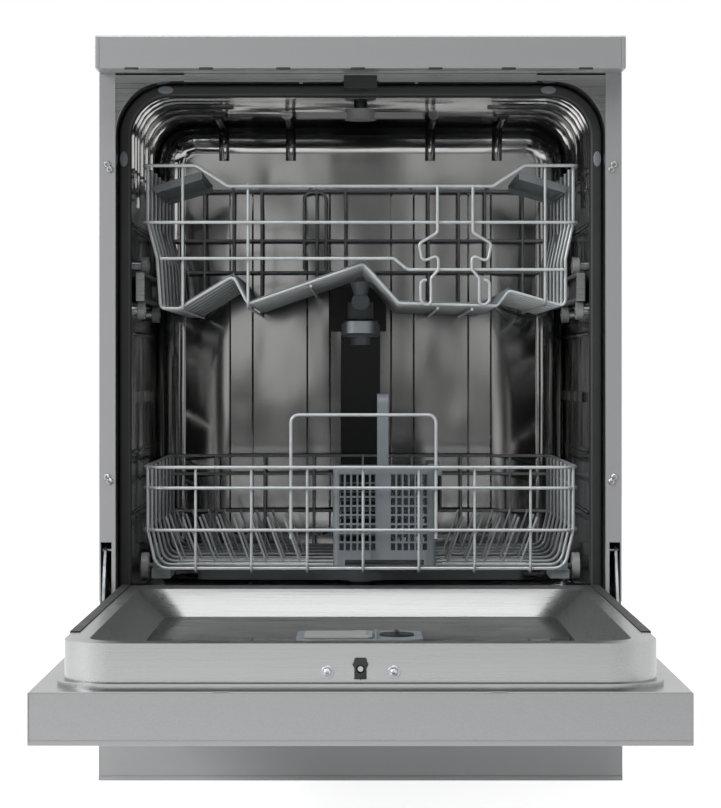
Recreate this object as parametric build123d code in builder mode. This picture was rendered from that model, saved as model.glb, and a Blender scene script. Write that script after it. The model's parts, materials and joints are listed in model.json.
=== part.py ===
from build123d import *
import os

# Free-standing dishwasher with its door let down, in millimetres.
# X runs to the right, Y to the back and Z up. The origin is on the floor, in the middle of the width,
# in the plane of the cabinet's front flanges.

os.makedirs("parts", exist_ok=True)

# Cabinet
cabinet_width = 598.0
overall_height = 845.0
cabinet_depth = 550.0
panel_sheet = 1.0
flange_width = 18.5
worktop_thickness = 37.0
worktop_overhang = 50.0
worktop_sheet = 1.5
end_cap_thickness = 5.0
plinth_height = 122.0
plinth_setback = -9.0
panel_foot_z = 10.0

# Tub
tub_half_width = 269.0
tub_floor_z = 190.0
tub_top_z = 792.0
tub_front_y = 52.5
tub_back_y = 515.0
tub_sheet = 1.0
tub_corner = 50.0
tub_foot_corner = 30.0
tub_back_corner = 36.0
gasket_band = 14.0
channel_half_width = tub_half_width + 11.2
channel_top_z = tub_top_z + 7.2
sump_y = 283.0
sump_hole_radius = 100.0

# Door, sized as it is when closed
door_bottom_z = 141.0
door_top_gap = 4.0
door_thickness = 48.4
door_face_gap = 3.0
door_sheet = 1.0
fascia_height = 113.5
pivot_y = -21.5
pivot_z = 160.5
liner_half_width = channel_half_width - 7.45
liner_top_z = channel_top_z - 15.2
liner_foot_z = 122.0
liner_rim_y = 38.5
liner_step = 5.5
liner_corner = 48.0
dish_half_width = liner_half_width - 22.75
dish_wall_run = 31.0
dish_depth = 28.5

# Racks
rack_front_y = 49.0
rack_back_y = 489.0
rack_half_width = tub_half_width - 17.0
wire_radius = 2.0
long_radius = 1.8
thin_wire = 1.6
weld_gap = 0.1
rib_count = 8
lower_floor_z = 237.1
lower_rim_z = 355.0
arch_x = (-81.0, 88.0)
arch_z = (272.0, 416.0)
wheel_radius = 15.5
wheel_width = 9.0
wheel_foot_z = 222.0
upper_rim_z = 706.0
rail_low_z = 549.0
rail_high_z = 582.0
rail_inner_x = tub_half_width - 17.0
rail_outer_x = tub_half_width - 7.0
roller_radius = 10.5
rack_wheel_radius = 14.0
running_gap = 0.3

# Worked out from the sizes above
half_width = cabinet_width / 2
underside_z = overall_height - worktop_thickness
door_top_z = underside_z - door_top_gap
door_ledge_y = -door_face_gap
door_front_y = door_ledge_y - door_thickness
fascia_low_z = door_top_z - fascia_height
wall_inner_x = half_width - panel_sheet
tub_middle_z = (tub_top_z + tub_floor_z) / 2
wheel_axis_z = wheel_foot_z + wheel_radius
long_pitch = 65.0


def open_y(closed_z):
    """Where a height on the closed door comes to when the door is let down."""
    return pivot_y + pivot_z - closed_z


def open_z(closed_y):
    """Height of a closed door's depth when the door is let down."""
    return pivot_z - pivot_y + closed_y


def save(piece, name):
    piece.part.label = name
    export_step(piece.part, f"parts/{name}.step")


def front_plane(y):
    """An upright plane that faces forward: its x is X and its y is Z."""
    return Plane(origin=(0, y, 0), x_dir=(1, 0, 0), z_dir=(0, -1, 0))


def side_plane(x):
    """An upright plane that faces right: its x is Y and its y is Z."""
    return Plane(origin=(x, 0, 0), x_dir=(0, 1, 0), z_dir=(1, 0, 0))


def bar(x_span, y_span, z_span, mode=Mode.ADD):
    """A plain block between three pairs of coordinates, put into the part being made."""
    low = Vector(min(x_span), min(y_span), min(z_span))
    high = Vector(max(x_span), max(y_span), max(z_span))
    size = high - low
    middle = (low + high) * 0.5
    with Locations(middle):
        Box(size.X, size.Y, size.Z, mode=mode)


def rod(start, end, radius, mode=Mode.ADD):
    """A round bar between two points, put into the part being made."""
    axis = Vector(*end) - Vector(*start)
    with BuildSketch(Plane(origin=start, z_dir=axis)) as round_end:
        Circle(radius)
    extrude(round_end.sketch, amount=axis.length, mode=mode)


def bent_wire(points, radius=wire_radius):
    """One rack wire along the points, mitred at its bends, as a six-sided bar."""
    with BuildPart() as bent:
        with BuildLine() as route:
            Polyline(*points)
        with BuildSketch(Plane(origin=route.line @ 0, z_dir=route.line % 0)):
            RegularPolygon(radius=radius, side_count=6)
        sweep(transition=Transition.RIGHT)
    return bent.part


# Worktop: a folded pan closed underneath, with a row of vent slots near its front
with BuildPart() as worktop:
    top_x = half_width - end_cap_thickness
    bar((-top_x, top_x), (-worktop_overhang, cabinet_depth), (underside_z, overall_height))
    fillet(worktop.edges().filter_by(Axis.X).group_by(Axis.Z)[-1], 2)
    bar(
        (-top_x + worktop_sheet, top_x - worktop_sheet),
        (-worktop_overhang + worktop_sheet, cabinet_depth - worktop_sheet),
        (underside_z + worktop_sheet, overall_height - worktop_sheet),
        mode=Mode.SUBTRACT,
    )
    with BuildSketch(Plane.XY.offset(underside_z)):
        with Locations((0, -worktop_overhang / 2)):
            with GridLocations(60, 1, 8, 1):
                SlotOverall(40, 5)
    extrude(amount=worktop_sheet, mode=Mode.SUBTRACT)
save(worktop, "worktop")

with BuildPart() as worktop_end_caps:
    for side in (-1, 1):
        bar(
            (side * top_x, side * half_width),
            (-worktop_overhang, cabinet_depth),
            (underside_z, overall_height),
        )
    fillet(worktop_end_caps.edges().filter_by(Axis.X).group_by(Axis.Z)[-1], 2)
save(worktop_end_caps, "worktop_end_caps")

# Side panels: folded sheet with a front flange, slotted for the hinge arm and cut back below the flange,
# where the lower corner of the door swings through
slot_inner_x = half_width - 14.0
slot_outer_x = half_width - 1.8
slot_foot_z = 203.0
slot_head_z = 271.0
swing_notch_y = 6.5
swing_notch_foot_z = 138.0
flange_inner_x = half_width - flange_width
rear_flange_y = cabinet_depth - 2 * panel_sheet
with BuildPart() as side_panel_right:
    bar((wall_inner_x, half_width), (0, rear_flange_y), (panel_foot_z, underside_z))
    bar((flange_inner_x, half_width), (0, panel_sheet), (slot_foot_z, underside_z))
    bar((flange_inner_x + 4, half_width), (rear_flange_y - panel_sheet, rear_flange_y), (60, underside_z))
    bar((half_width - 14, half_width), (0, rear_flange_y), (underside_z - panel_sheet, underside_z))
    bar((half_width - 12, half_width), (60, rear_flange_y), (panel_foot_z, panel_foot_z + panel_sheet))
    bar((slot_inner_x, slot_outer_x), (-1, 2), (slot_foot_z - 1, slot_head_z), mode=Mode.SUBTRACT)
    bar(
        (wall_inner_x - 1, half_width + 1),
        (-1, swing_notch_y),
        (swing_notch_foot_z, slot_foot_z),
        mode=Mode.SUBTRACT,
    )
save(side_panel_right, "side_panel_right")

with BuildPart() as side_panel_left:
    mirror(side_panel_right.part, about=Plane.YZ)
save(side_panel_left, "side_panel_left")

rear_foot_z = 78.0
with BuildPart() as rear_panel:
    bar(
        (-wall_inner_x, wall_inner_x),
        (rear_flange_y + 0.1, cabinet_depth - panel_sheet + 0.1),
        (rear_foot_z, underside_z - 2),
    )
    with BuildSketch(front_plane(cabinet_depth - panel_sheet + 0.1)):
        with Locations((0, (rear_foot_z + underside_z) / 2)):
            with GridLocations(180, 1, 3, 1):
                SlotOverall(500, 60, rotation=90)
    extrude(amount=-2)
save(rear_panel, "rear_panel")


def tub_block(grow, front, back, back_corner):
    """A solid of the tub's section between two depths, with its back edge rounded."""
    with BuildPart() as block:
        with BuildSketch(front_plane(front)) as section:
            with Locations((0, tub_middle_z)):
                Rectangle(2 * (tub_half_width + grow), tub_top_z - tub_floor_z + 2 * grow)
            fillet(section.vertices().group_by(Axis.Y)[-1], tub_corner + grow)
            fillet(section.vertices().group_by(Axis.Y)[0], tub_foot_corner + grow)
        extrude(amount=front - back)
        if back_corner:
            fillet(block.faces().sort_by(Axis.Y)[-1].edges(), back_corner)
    return block.part


def channel_block(grow, front, back, foot_z):
    """A solid of the gasket channel's section between two depths."""
    half = channel_half_width + grow
    top = channel_top_z + grow
    with BuildPart() as block:
        with BuildSketch(front_plane(front)) as section:
            with Locations((0, (top + foot_z) / 2)):
                Rectangle(2 * half, top - foot_z)
            fillet(section.vertices().group_by(Axis.Y)[-1], tub_corner + 11 + grow)
        extrude(amount=front - back)
    return block.part


# Tub: a deep-drawn stainless box with a gasket channel round its mouth and a plate out to the side panels
shell_outer = tub_block(tub_sheet, tub_front_y, tub_back_y + tub_sheet, tub_back_corner + tub_sheet)
shell_inner = tub_block(0, tub_front_y - 1, tub_back_y, tub_back_corner)
channel_foot_z = 185.0
channel_outer = channel_block(tub_sheet, panel_sheet + 0.1, tub_front_y + tub_sheet, channel_foot_z)
channel_inner = channel_block(0, 0, tub_front_y, channel_foot_z - 1)
mouth = tub_block(0, tub_front_y - 1, tub_front_y + 2, 0)
channel_hole = channel_block(0.5, 0, panel_sheet + 3, channel_foot_z - 1)
sill_height = 216.0
sill_front_y = liner_rim_y + 1.8
track_inner_x = tub_half_width - 21.0
track_top_z = wheel_foot_z - running_gap
track_sheet = 2.7
rib_width = 27.6
rib_top_z = 714.0
conduit_depth = 14.0
conduit_y = tub_back_y - 0.3 - conduit_depth
with BuildPart() as tub:
    add(channel_outer)
    bar(
        (-wall_inner_x + 1, wall_inner_x - 1),
        (panel_sheet + 0.1, panel_sheet + 1.1),
        (slot_head_z + 4, underside_z - 2),
    )
    add(channel_hole, mode=Mode.SUBTRACT)
    add(channel_inner, mode=Mode.SUBTRACT)
    add(shell_outer)
    add(shell_inner, mode=Mode.SUBTRACT)
    add(mouth, mode=Mode.SUBTRACT)
    bar(
        (-channel_half_width, channel_half_width),
        (sill_front_y, tub_front_y + tub_sheet),
        (sill_height - 10, sill_height),
    )
    for side in (-1, 1):
        bar(
            (side * track_inner_x, side * (tub_half_width + 0.2)),
            (tub_front_y, tub_back_y - 20),
            (track_top_z - track_sheet, track_top_z),
        )
        bar(
            (side * track_inner_x, side * (channel_half_width - gasket_band - 1)),
            (sill_front_y, tub_front_y + 1),
            (track_top_z - track_sheet, track_top_z),
        )
        for x in (56.0, 159.0):
            with BuildSketch(front_plane(tub_back_y + 0.2)):
                with Locations((side * x, (rib_top_z + 250) / 2)):
                    SlotOverall(rib_top_z - 250, rib_width, rotation=90)
            extrude(amount=4)
        bar(
            (side * (tub_half_width + 0.2), side * (tub_half_width - 5)),
            (tub_front_y + 70, tub_back_y - 60),
            (430, 442),
        )
    with BuildSketch(Plane.XY.offset(tub_floor_z - tub_sheet - 1)):
        with Locations((0, sump_y)):
            Circle(sump_hole_radius)
    extrude(amount=4, mode=Mode.SUBTRACT)
    sprayer_y = 200.0
    with BuildSketch(Plane.XY.offset(tub_top_z - 1)):
        with Locations((0, sprayer_y)):
            Circle(9)
    extrude(amount=5, mode=Mode.SUBTRACT)
save(tub, "tub")

# Rail across the top of the mouth, notched for the strike
rail_half = 202.0
strike_half = 19.0
with BuildPart() as top_cross_rail:
    bar((-rail_half, rail_half), (-0.2, 0.8), (underside_z - 10, underside_z - 0.4))
    bar((-rail_half, rail_half), (-0.2, 1.0), (underside_z - 1.4, underside_z - 0.4))
    bar(
        (-strike_half - 2, strike_half + 2),
        (-1, 2),
        (underside_z - 11, underside_z - 1.9),
        mode=Mode.SUBTRACT,
    )
    for x in (-68.0, 64.0):
        bar((x - 2, x + 2), (-0.2, 0.8), (underside_z - 12, underside_z - 9))
save(top_cross_rail, "top_cross_rail")

bolt_radius = 3.5
bolt_closed_y = 15.5
strike_foot_z = liner_top_z + 6.7
with BuildPart() as door_strike:
    bar((-strike_half, strike_half), (-1, panel_sheet), (strike_foot_z, underside_z - 2.2))
    bar((-strike_half, strike_half), (0, 27), (strike_foot_z, channel_top_z - 0.1))
    rod(
        (0, bolt_closed_y, strike_foot_z - 1),
        (0, bolt_closed_y, strike_foot_z + 7),
        bolt_radius + 1,
        Mode.SUBTRACT,
    )
save(door_strike, "door_strike")

# Gasket: a band round three sides of the mouth with a rounded bulb towards the door
gasket_front_y = sill_front_y + 0.5
with BuildPart() as door_gasket:
    add(channel_block(-0.3, gasket_front_y, tub_front_y - 0.2, sill_height + 0.3))
    add(
        channel_block(-gasket_band, gasket_front_y - 1, tub_front_y + 1, sill_height - 5),
        mode=Mode.SUBTRACT,
    )
    front_face = door_gasket.faces().sort_by(Axis.Y)[0]
    long_edges = [e for e in front_face.edges() if e.length > 20 or e.geom_type == GeomType.CIRCLE]
    fillet(long_edges, 4)
save(door_gasket, "door_gasket")

# Base tray: a moulded pan with posts up to the tub, foot bosses and pads at the rear
tray_foot_z = panel_foot_z + panel_sheet + 0.1
tray_half = half_width - 2.5
tray_front_y = 4.0
tray_wall = 3.0
foot_x = half_width - 44.0
foot_y = 46.0
spring_end_y = 330.0
spring_end_z = 62.0
spring_x = half_width - 9.5
post_x = tub_half_width - 44.0
drain_x = 85.0
inlet_x = 142.0
hose_z = 61.0
with BuildPart() as base_tray:
    bar((-tray_half, tray_half), (tray_front_y, rear_flange_y - 2), (tray_foot_z, 56))
    bar(
        (-tray_half + tray_wall, tray_half - tray_wall),
        (tray_front_y + tray_wall, rear_flange_y - 2 - tray_wall),
        (tray_foot_z + tray_wall, 57),
        mode=Mode.SUBTRACT,
    )
    for x in (-post_x, post_x):
        for y in (90, 470):
            bar((x - 22, x + 22), (y - 22, y + 22), (tray_foot_z, tub_floor_z - tub_sheet - 0.2))
            bar((x - 19, x + 19), (y - 19, y + 19), (tray_foot_z + 3, tub_floor_z - 5), mode=Mode.SUBTRACT)
        with BuildSketch(Plane.XY):
            with Locations((x, 500)):
                Circle(20)
        extrude(amount=tray_foot_z + 1)
    bar((-tray_half + 8, tray_half - 8), (tray_front_y, tray_front_y + tray_wall), (50, 108))
    bar(
        (drain_x - 19, inlet_x + 20),
        (rear_flange_y - 3 - tray_wall, rear_flange_y),
        (hose_z - 15, 58),
        mode=Mode.SUBTRACT,
    )
    for side in (-1, 1):
        bar(
            (side * (spring_x - 5), side * (spring_x + 5)),
            (spring_end_y + 3.5, spring_end_y + 13),
            (15, spring_end_z + 6),
        )
        with BuildSketch(Plane.XY.offset(tray_foot_z)):
            with Locations((side * foot_x, foot_y)):
                Circle(15)
        extrude(amount=44)
        rod((side * foot_x, foot_y, 0), (side * foot_x, foot_y, tray_foot_z + 50), 6.05, Mode.SUBTRACT)
        bar((side * (half_width - 17), side * tray_half), (12, 72), (50, 57))
        bar(
            (side * (wall_inner_x - 12), side * (half_width + 1)),
            (0, 59.5),
            (tray_foot_z - 2, tray_foot_z + 6),
            mode=Mode.SUBTRACT,
        )
save(base_tray, "base_tray")

with BuildPart() as plinth:
    bar((-half_width, half_width), (plinth_setback, plinth_setback + 1.2), (0, plinth_height))
    bar((-half_width, half_width), (plinth_setback - 1.5, plinth_setback + 1.2), (0, 5))
    bar((-wall_inner_x + 3, wall_inner_x - 3), (plinth_setback, 12), (0, 1.2))
    bar((-wall_inner_x + 3, wall_inner_x - 3), (plinth_setback, tray_front_y - 0.2), (100, 101.2))
    for side in (-1, 1):
        bar((side * half_width, side * wall_inner_x), (plinth_setback, -0.3), (0, plinth_height))
save(plinth, "plinth")

# Hinge: a bracket tongue and pivot pin on the cabinet, and a cranked arm on the door
bracket_inner_x = half_width - 13.5
bracket_outer_x = half_width - 10.5
arm_inner_x = half_width - 7.5
arm_outer_x = half_width - 4.5
pin_radius = 4.0
stud_z = 98.0
arm_tail = (15.0, 262.0)
with BuildPart() as hinge_brackets:
    for side in (-1, 1):
        with BuildSketch(side_plane(side * bracket_inner_x)):
            with BuildLine():
                Polyline(
                    (pivot_y, pivot_z + 11),
                    (30, pivot_z + 20),
                    (72, pivot_z + 20),
                    (72, 57.2),
                    (20, 57.2),
                    (10, 112),
                    (4, 138),
                    (pivot_y, pivot_z - 11),
                    close=True,
                )
            make_face()
            with Locations((pivot_y, pivot_z)):
                Circle(11)
        extrude(amount=side * (bracket_outer_x - bracket_inner_x))
        rod(
            (side * bracket_inner_x, pivot_y, pivot_z),
            (side * (wall_inner_x - 1), pivot_y, pivot_z),
            pin_radius,
        )
        rod((side * bracket_outer_x, 50, stud_z), (side * (wall_inner_x - 0.1), 50, stud_z), 5)
        bar((side * bracket_inner_x, side * (bracket_outer_x + 4)), (22, 70), (57.2, 59.2))
save(hinge_brackets, "hinge_brackets")

with BuildPart() as hinge_arms:
    for side in (-1, 1):
        with BuildSketch(side_plane(side * arm_inner_x)):
            with BuildLine():
                Polyline(
                    (pivot_y + 6, pivot_z + 4),
                    (arm_tail[0] + 6.5, arm_tail[1] - 2),
                    (arm_tail[0] - 6.5, arm_tail[1] + 2),
                    (pivot_y - 10, pivot_z + 12),
                    (pivot_y - 120, pivot_z + 14),
                    (pivot_y - 280, pivot_z + 14),
                    (pivot_y - 280, pivot_z - 6),
                    (pivot_y - 120, pivot_z - 6),
                    (pivot_y, pivot_z - 12),
                    close=True,
                )
            make_face()
            with Locations((pivot_y, pivot_z)):
                Circle(12)
            with Locations(arm_tail):
                Circle(6.8)
            with Locations((pivot_y, pivot_z)):
                Circle(pin_radius + 0.05, mode=Mode.SUBTRACT)
        extrude(amount=side * (arm_outer_x - arm_inner_x))
        rod((side * (arm_inner_x - 5.5), *arm_tail), (side * (arm_outer_x + 2), *arm_tail), 2.5)
save(hinge_arms, "hinge_arms")

with BuildPart() as door_springs:
    for side in (-1, 1):
        eye = (side * (spring_x - 2.0), arm_tail[0] + 3.2, arm_tail[1] - 0.6)
        near = (side * (spring_x - 2.0), arm_tail[0] + 40, arm_tail[1] - 26)
        far = (side * spring_x, spring_end_y - 30, spring_end_z + 22)
        end = (side * spring_x, spring_end_y + 1.5, spring_end_z + 1)
        rod(eye, near, 1.5)
        rod(near, far, 6.5)
        rod(far, end, 1.5)
save(door_springs, "door_springs")

# Door skin: the painted pan of the outer face, below the fascia
skin_front_z = open_z(door_front_y)
ledge_z = open_z(door_ledge_y)
hinge_end_y = open_y(door_bottom_z)
fascia_y = open_y(fascia_low_z)
door_end_y = open_y(door_top_z)
pan_top_z = ledge_z - door_sheet - 0.1
with BuildPart() as door_skin:
    bar((-half_width, half_width), (fascia_y + 0.3, hinge_end_y), (skin_front_z, skin_front_z + door_sheet))
    bar((-half_width, half_width), (hinge_end_y - door_sheet, hinge_end_y), (skin_front_z, skin_front_z + 10))
    for side in (-1, 1):
        bar(
            (side * wall_inner_x, side * half_width),
            (fascia_y + 0.3, hinge_end_y),
            (skin_front_z, pan_top_z),
        )
save(door_skin, "door_skin")

# Fascia: the moulded head of the door with a pocket to pull it by and three button holes
fascia_wall = 2.5
pocket_half = 95.0
pocket_low_y = open_y(door_top_z - 62)
pocket_high_y = open_y(door_top_z - 16)
pocket_depth = 30.0
button_x = (150.0, 185.0, 220.0)
button_y = open_y(door_top_z - 40)
button_radius = 8.0
with BuildPart() as control_fascia:
    bar((-half_width, half_width), (door_end_y, fascia_y), (skin_front_z, pan_top_z))
    bar(
        (-half_width + fascia_wall, half_width - fascia_wall),
        (door_end_y + fascia_wall, fascia_y + 1),
        (skin_front_z + fascia_wall, pan_top_z + 1),
        mode=Mode.SUBTRACT,
    )
    bar(
        (-half_width + 0.8, half_width - 0.8),
        (door_end_y - 1, door_end_y + 0.8),
        (skin_front_z + 4.5, pan_top_z + 1),
        mode=Mode.SUBTRACT,
    )
    bar(
        (-pocket_half - 2, pocket_half + 2),
        (pocket_high_y - 2, pocket_low_y + 2),
        (skin_front_z, skin_front_z + pocket_depth + 2),
    )
    bar(
        (-pocket_half, pocket_half),
        (pocket_high_y, pocket_low_y),
        (skin_front_z - 1, skin_front_z + pocket_depth),
        mode=Mode.SUBTRACT,
    )
    for x in button_x:
        rod((x, button_y, skin_front_z), (x, button_y, skin_front_z + 12), button_radius + 2)
    for x in button_x:
        rod(
            (x, button_y, skin_front_z - 1),
            (x, button_y, skin_front_z + 13),
            button_radius + 0.4,
            Mode.SUBTRACT,
        )
save(control_fascia, "control_fascia")

button_names = ("power_button", "program_button", "start_button")
button_travel = 1.5
for x, name in zip(button_x, button_names):
    with BuildPart() as button:
        rod((x, button_y, skin_front_z - 2.2), (x, button_y, skin_front_z + 8), button_radius)
        fillet(button.edges().sort_by(Axis.Z)[0], 1)
    save(button, name)

# Door liner: a stainless pressing with a ledge, a raised box and a dished middle
rim_z = open_z(liner_rim_y)
liner_end_y = open_y(liner_foot_z)
liner_front_y = open_y(liner_top_z)
step_z = ledge_z + liner_step
dish_floor_z = rim_z - dish_depth
dish_front_y = liner_front_y + 24
dish_back_y = liner_end_y - 52
dispenser_x = (-65.0, 63.0)
dispenser_y = (-375.0, -279.0)


def pressed_block(half, front, back, corner, low_z, high_z):
    """A block of the liner's outline, with its two corners at the head of the door rounded."""
    with BuildPart() as block:
        with BuildSketch(Plane.XY.offset(low_z)) as plan:
            with Locations((0, (back + front) / 2)):
                Rectangle(2 * half, back - front)
            fillet(plan.vertices().group_by(Axis.Y)[0], corner)
        extrude(amount=high_z - low_z)
    return block.part


def liner_block(grow, low_z, high_z):
    """The liner's raised box, grown on all sides, between two heights."""
    return pressed_block(
        liner_half_width + grow, liner_front_y - grow, liner_end_y + grow, liner_corner + grow, low_z, high_z
    )


def dish_block(grow, lift):
    """The dish's hollow, grown on all sides."""
    with BuildPart() as block:
        for inset, z, radius in ((0, rim_z + lift, 30), (dish_wall_run, dish_floor_z - grow, 24)):
            with BuildSketch(Plane.XY.offset(z)) as plan:
                with Locations((0, (dish_front_y + dish_back_y) / 2)):
                    Rectangle(
                        2 * (dish_half_width - inset + grow),
                        dish_back_y - dish_front_y + 2 * (grow - inset),
                    )
                fillet(plan.vertices(), radius)
        loft()
    return block.part


liner_outer = liner_block(0, ledge_z - door_sheet, rim_z)
liner_hollow = liner_block(-door_sheet, ledge_z - 2 * door_sheet, rim_z - door_sheet)
dish_outer = dish_block(door_sheet, 0)
dish_hollow = dish_block(0, 0.01)
tongue_notch_x = half_width - 15.0
step_half = channel_half_width - 0.9
step_front_y = liner_front_y - 6
step_corner = 54.0
step_back_y = hinge_end_y - 2
step_outer = pressed_block(step_half, step_front_y, step_back_y, step_corner, ledge_z - door_sheet, step_z)
step_hollow = pressed_block(
    step_half - door_sheet,
    step_front_y + door_sheet,
    step_back_y + 1,
    step_corner - door_sheet,
    ledge_z - 2 * door_sheet,
    step_z - door_sheet,
)
with BuildPart() as door_liner:
    bar((-half_width + 1.1, half_width - 1.1), (door_end_y + 1, step_back_y), (ledge_z - door_sheet, ledge_z))
    add(step_outer)
    add(step_hollow, mode=Mode.SUBTRACT)
    add(liner_outer)
    add(liner_hollow, mode=Mode.SUBTRACT)
    add(dish_outer)
    add(dish_hollow, mode=Mode.SUBTRACT)
    with BuildSketch(Plane.XY.offset(dish_floor_z - 3)) as plan:
        with Locations(((dispenser_x[0] + dispenser_x[1]) / 2, (dispenser_y[0] + dispenser_y[1]) / 2)):
            RectangleRounded(dispenser_x[1] - dispenser_x[0] - 8, dispenser_y[1] - dispenser_y[0] - 8, 14)
    extrude(amount=6, mode=Mode.SUBTRACT)
    for side in (-1, 1):
        bar(
            (side * tongue_notch_x, side * (half_width + 1)),
            (-52, 5),
            (ledge_z - 3, ledge_z + 1),
            mode=Mode.SUBTRACT,
        )
        for x in (-125.0, 125.0):
            bar((x - 7, x + 7), (door_end_y, door_end_y + 3), (ledge_z - 2, ledge_z + 1), mode=Mode.SUBTRACT)
    latch_z = open_z(bolt_closed_y)
    bar(
        (-5.6, 5.6),
        (liner_front_y - 1, liner_front_y + 3),
        (latch_z - 9.5, latch_z + 9.5),
        mode=Mode.SUBTRACT,
    )
save(door_liner, "door_liner")

# Latch: a five-sided housing in the head of the liner, and its sprung bolt
with BuildPart() as door_latch:
    with BuildSketch(front_plane(liner_front_y - 2)):
        with BuildLine():
            Polyline(
                (-7.2, latch_z + 4),
                (-4.5, latch_z + 10),
                (4.5, latch_z + 10),
                (7.2, latch_z + 4),
                (0, latch_z - 10.5),
                close=True,
            )
        make_face()
    extrude(amount=-1.9)
    bar((-5.4, 5.4), (liner_front_y - 1, liner_front_y + 26), (latch_z - 9, latch_z + 9))
    rod((0, liner_front_y - 3, latch_z), (0, liner_front_y + 27, latch_z), bolt_radius + 0.4, Mode.SUBTRACT)
save(door_latch, "door_latch")

bolt_travel = 10.0
with BuildPart() as latch_bolt:
    rod((0, liner_front_y - 0.3, latch_z), (0, liner_front_y + 24, latch_z), bolt_radius)
    chamfer(latch_bolt.edges().sort_by(Axis.Y)[0], 1)
save(latch_bolt, "latch_bolt")

# Dispenser: a flanged moulding with a detergent cup, a flip lid and a rinse-aid cap
lid_x = (-57.0, 12.0)
lid_y = (-369.0, -307.0)
cap_x = 37.0
cap_y = -333.0
flange_z = dish_floor_z + 0.1
with BuildPart() as dispenser:
    with BuildSketch(Plane.XY.offset(flange_z)):
        with Locations(((dispenser_x[0] + dispenser_x[1]) / 2, (dispenser_y[0] + dispenser_y[1]) / 2)):
            RectangleRounded(dispenser_x[1] - dispenser_x[0], dispenser_y[1] - dispenser_y[0], 18)
    extrude(amount=5)
    with BuildSketch(Plane.XY.offset(skin_front_z + 14)):
        with Locations(((dispenser_x[0] + dispenser_x[1]) / 2, (dispenser_y[0] + dispenser_y[1]) / 2)):
            RectangleRounded(dispenser_x[1] - dispenser_x[0] - 10, dispenser_y[1] - dispenser_y[0] - 10, 13)
    extrude(amount=flange_z - skin_front_z - 13.9)
    bar(
        (lid_x[0] + 4, lid_x[1] - 4),
        (lid_y[0] + 4, lid_y[1] - 4),
        (flange_z - 26, flange_z + 6),
        mode=Mode.SUBTRACT,
    )
    with BuildSketch(Plane.XY.offset(flange_z - 18)):
        with Locations((cap_x, cap_y)):
            Circle(15)
    extrude(amount=24, mode=Mode.SUBTRACT)
    bar((14.2, 17), (dispenser_y[0] + 4, dispenser_y[1] - 4), (flange_z + 4.9, flange_z + 6.6))
save(dispenser, "dispenser")

lid_thickness = 2.0
lid_pin_z = flange_z + 6.4
with BuildPart() as detergent_lid:
    bar(
        (lid_x[0] + lid_thickness / 2, lid_x[1]),
        lid_y,
        (lid_pin_z - lid_thickness / 2, lid_pin_z + lid_thickness / 2),
    )
    fillet(detergent_lid.edges().filter_by(Axis.Z).group_by(Axis.X)[-1], 5)
    rod(
        (lid_x[0] + lid_thickness / 2, lid_y[0], lid_pin_z),
        (lid_x[0] + lid_thickness / 2, lid_y[1], lid_pin_z),
        lid_thickness / 2,
    )
    bar((-6, 6), (lid_y[0] + 16, lid_y[1] - 16), (lid_pin_z + lid_thickness / 2, lid_pin_z + 3))
save(detergent_lid, "detergent_lid")

with BuildPart() as rinse_cap:
    with BuildSketch(Plane.XY.offset(flange_z - 6)):
        with Locations((cap_x, cap_y)):
            Circle(14.7)
    extrude(amount=11.3)
    with BuildSketch(Plane.XY.offset(flange_z + 5.3)):
        with Locations((cap_x, cap_y)):
            Circle(17.5)
    extrude(amount=2)
    bar((cap_x - 2, cap_x + 2), (cap_y - 14, cap_y + 14), (flange_z + 7.2, flange_z + 10))
save(rinse_cap, "rinse_cap")

# Rubber strips along the liner's sides and its lower edge
with BuildPart() as liner_seals:
    for side in (-1, 1):
        seal_outer = side * (liner_half_width + 1.25)
        seal_y = (-541, liner_end_y - 7)
        bar((side * (liner_half_width - 8.25), seal_outer), seal_y, (rim_z + 0.1, rim_z + 1.3))
        bar((side * (liner_half_width + 0.1), seal_outer), seal_y, (rim_z - 16, rim_z + 1.3))
    foot_seal_half = liner_half_width - 10.75
    bar((-foot_seal_half, foot_seal_half), (liner_end_y + 0.1, liner_end_y + 1.5), (rim_z - 24, rim_z - 1.5))
save(liner_seals, "liner_seals")

# Screws of the flanges and the pins that carry the rail rollers
screw_x = (half_width - 9.0, half_width - 12.0)
screw_sites = ((screw_x[0], 704.0), (screw_x[1], 698.0), (screw_x[0], 346.0), (screw_x[1], 341.0))
roller_sites = (
    ("wall_rollers_front", 78.0, rail_low_z - running_gap - roller_radius),
    ("wall_rollers_top", 132.0, rail_high_z + running_gap + roller_radius),
    ("wall_rollers_rear", 300.0, rail_low_z - running_gap - roller_radius),
)
roller_x = (rail_inner_x + 0.5, rail_outer_x - 0.5)
roller_pin_radius = 3.0
with BuildPart() as cabinet_fasteners:
    for side in (-1, 1):
        for x, z in screw_sites:
            rod((side * x, -0.1, z), (side * x, -2.6, z), 3.6)
        for name, y, z in roller_sites:
            rod((side * (tub_half_width - 0.1), y, z), (side * (roller_x[0] - 1), y, z), roller_pin_radius)
            rod((side * (tub_half_width - 0.1), y, z), (side * (roller_x[1] + 0.4), y, z), 6)
            rod((side * (roller_x[0] - 0.3), y, z), (side * (roller_x[0] - 1), y, z), 5)
save(cabinet_fasteners, "cabinet_fasteners")

for name, y, z in roller_sites:
    with BuildPart() as roller:
        for side in (-1, 1):
            rod((side * roller_x[0], y, z), (side * roller_x[1], y, z), roller_radius)
            rod(
                (side * (roller_x[0] - 1), y, z),
                (side * (roller_x[1] + 1), y, z),
                roller_pin_radius + 0.06,
                Mode.SUBTRACT,
            )
    save(roller, name)

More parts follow.
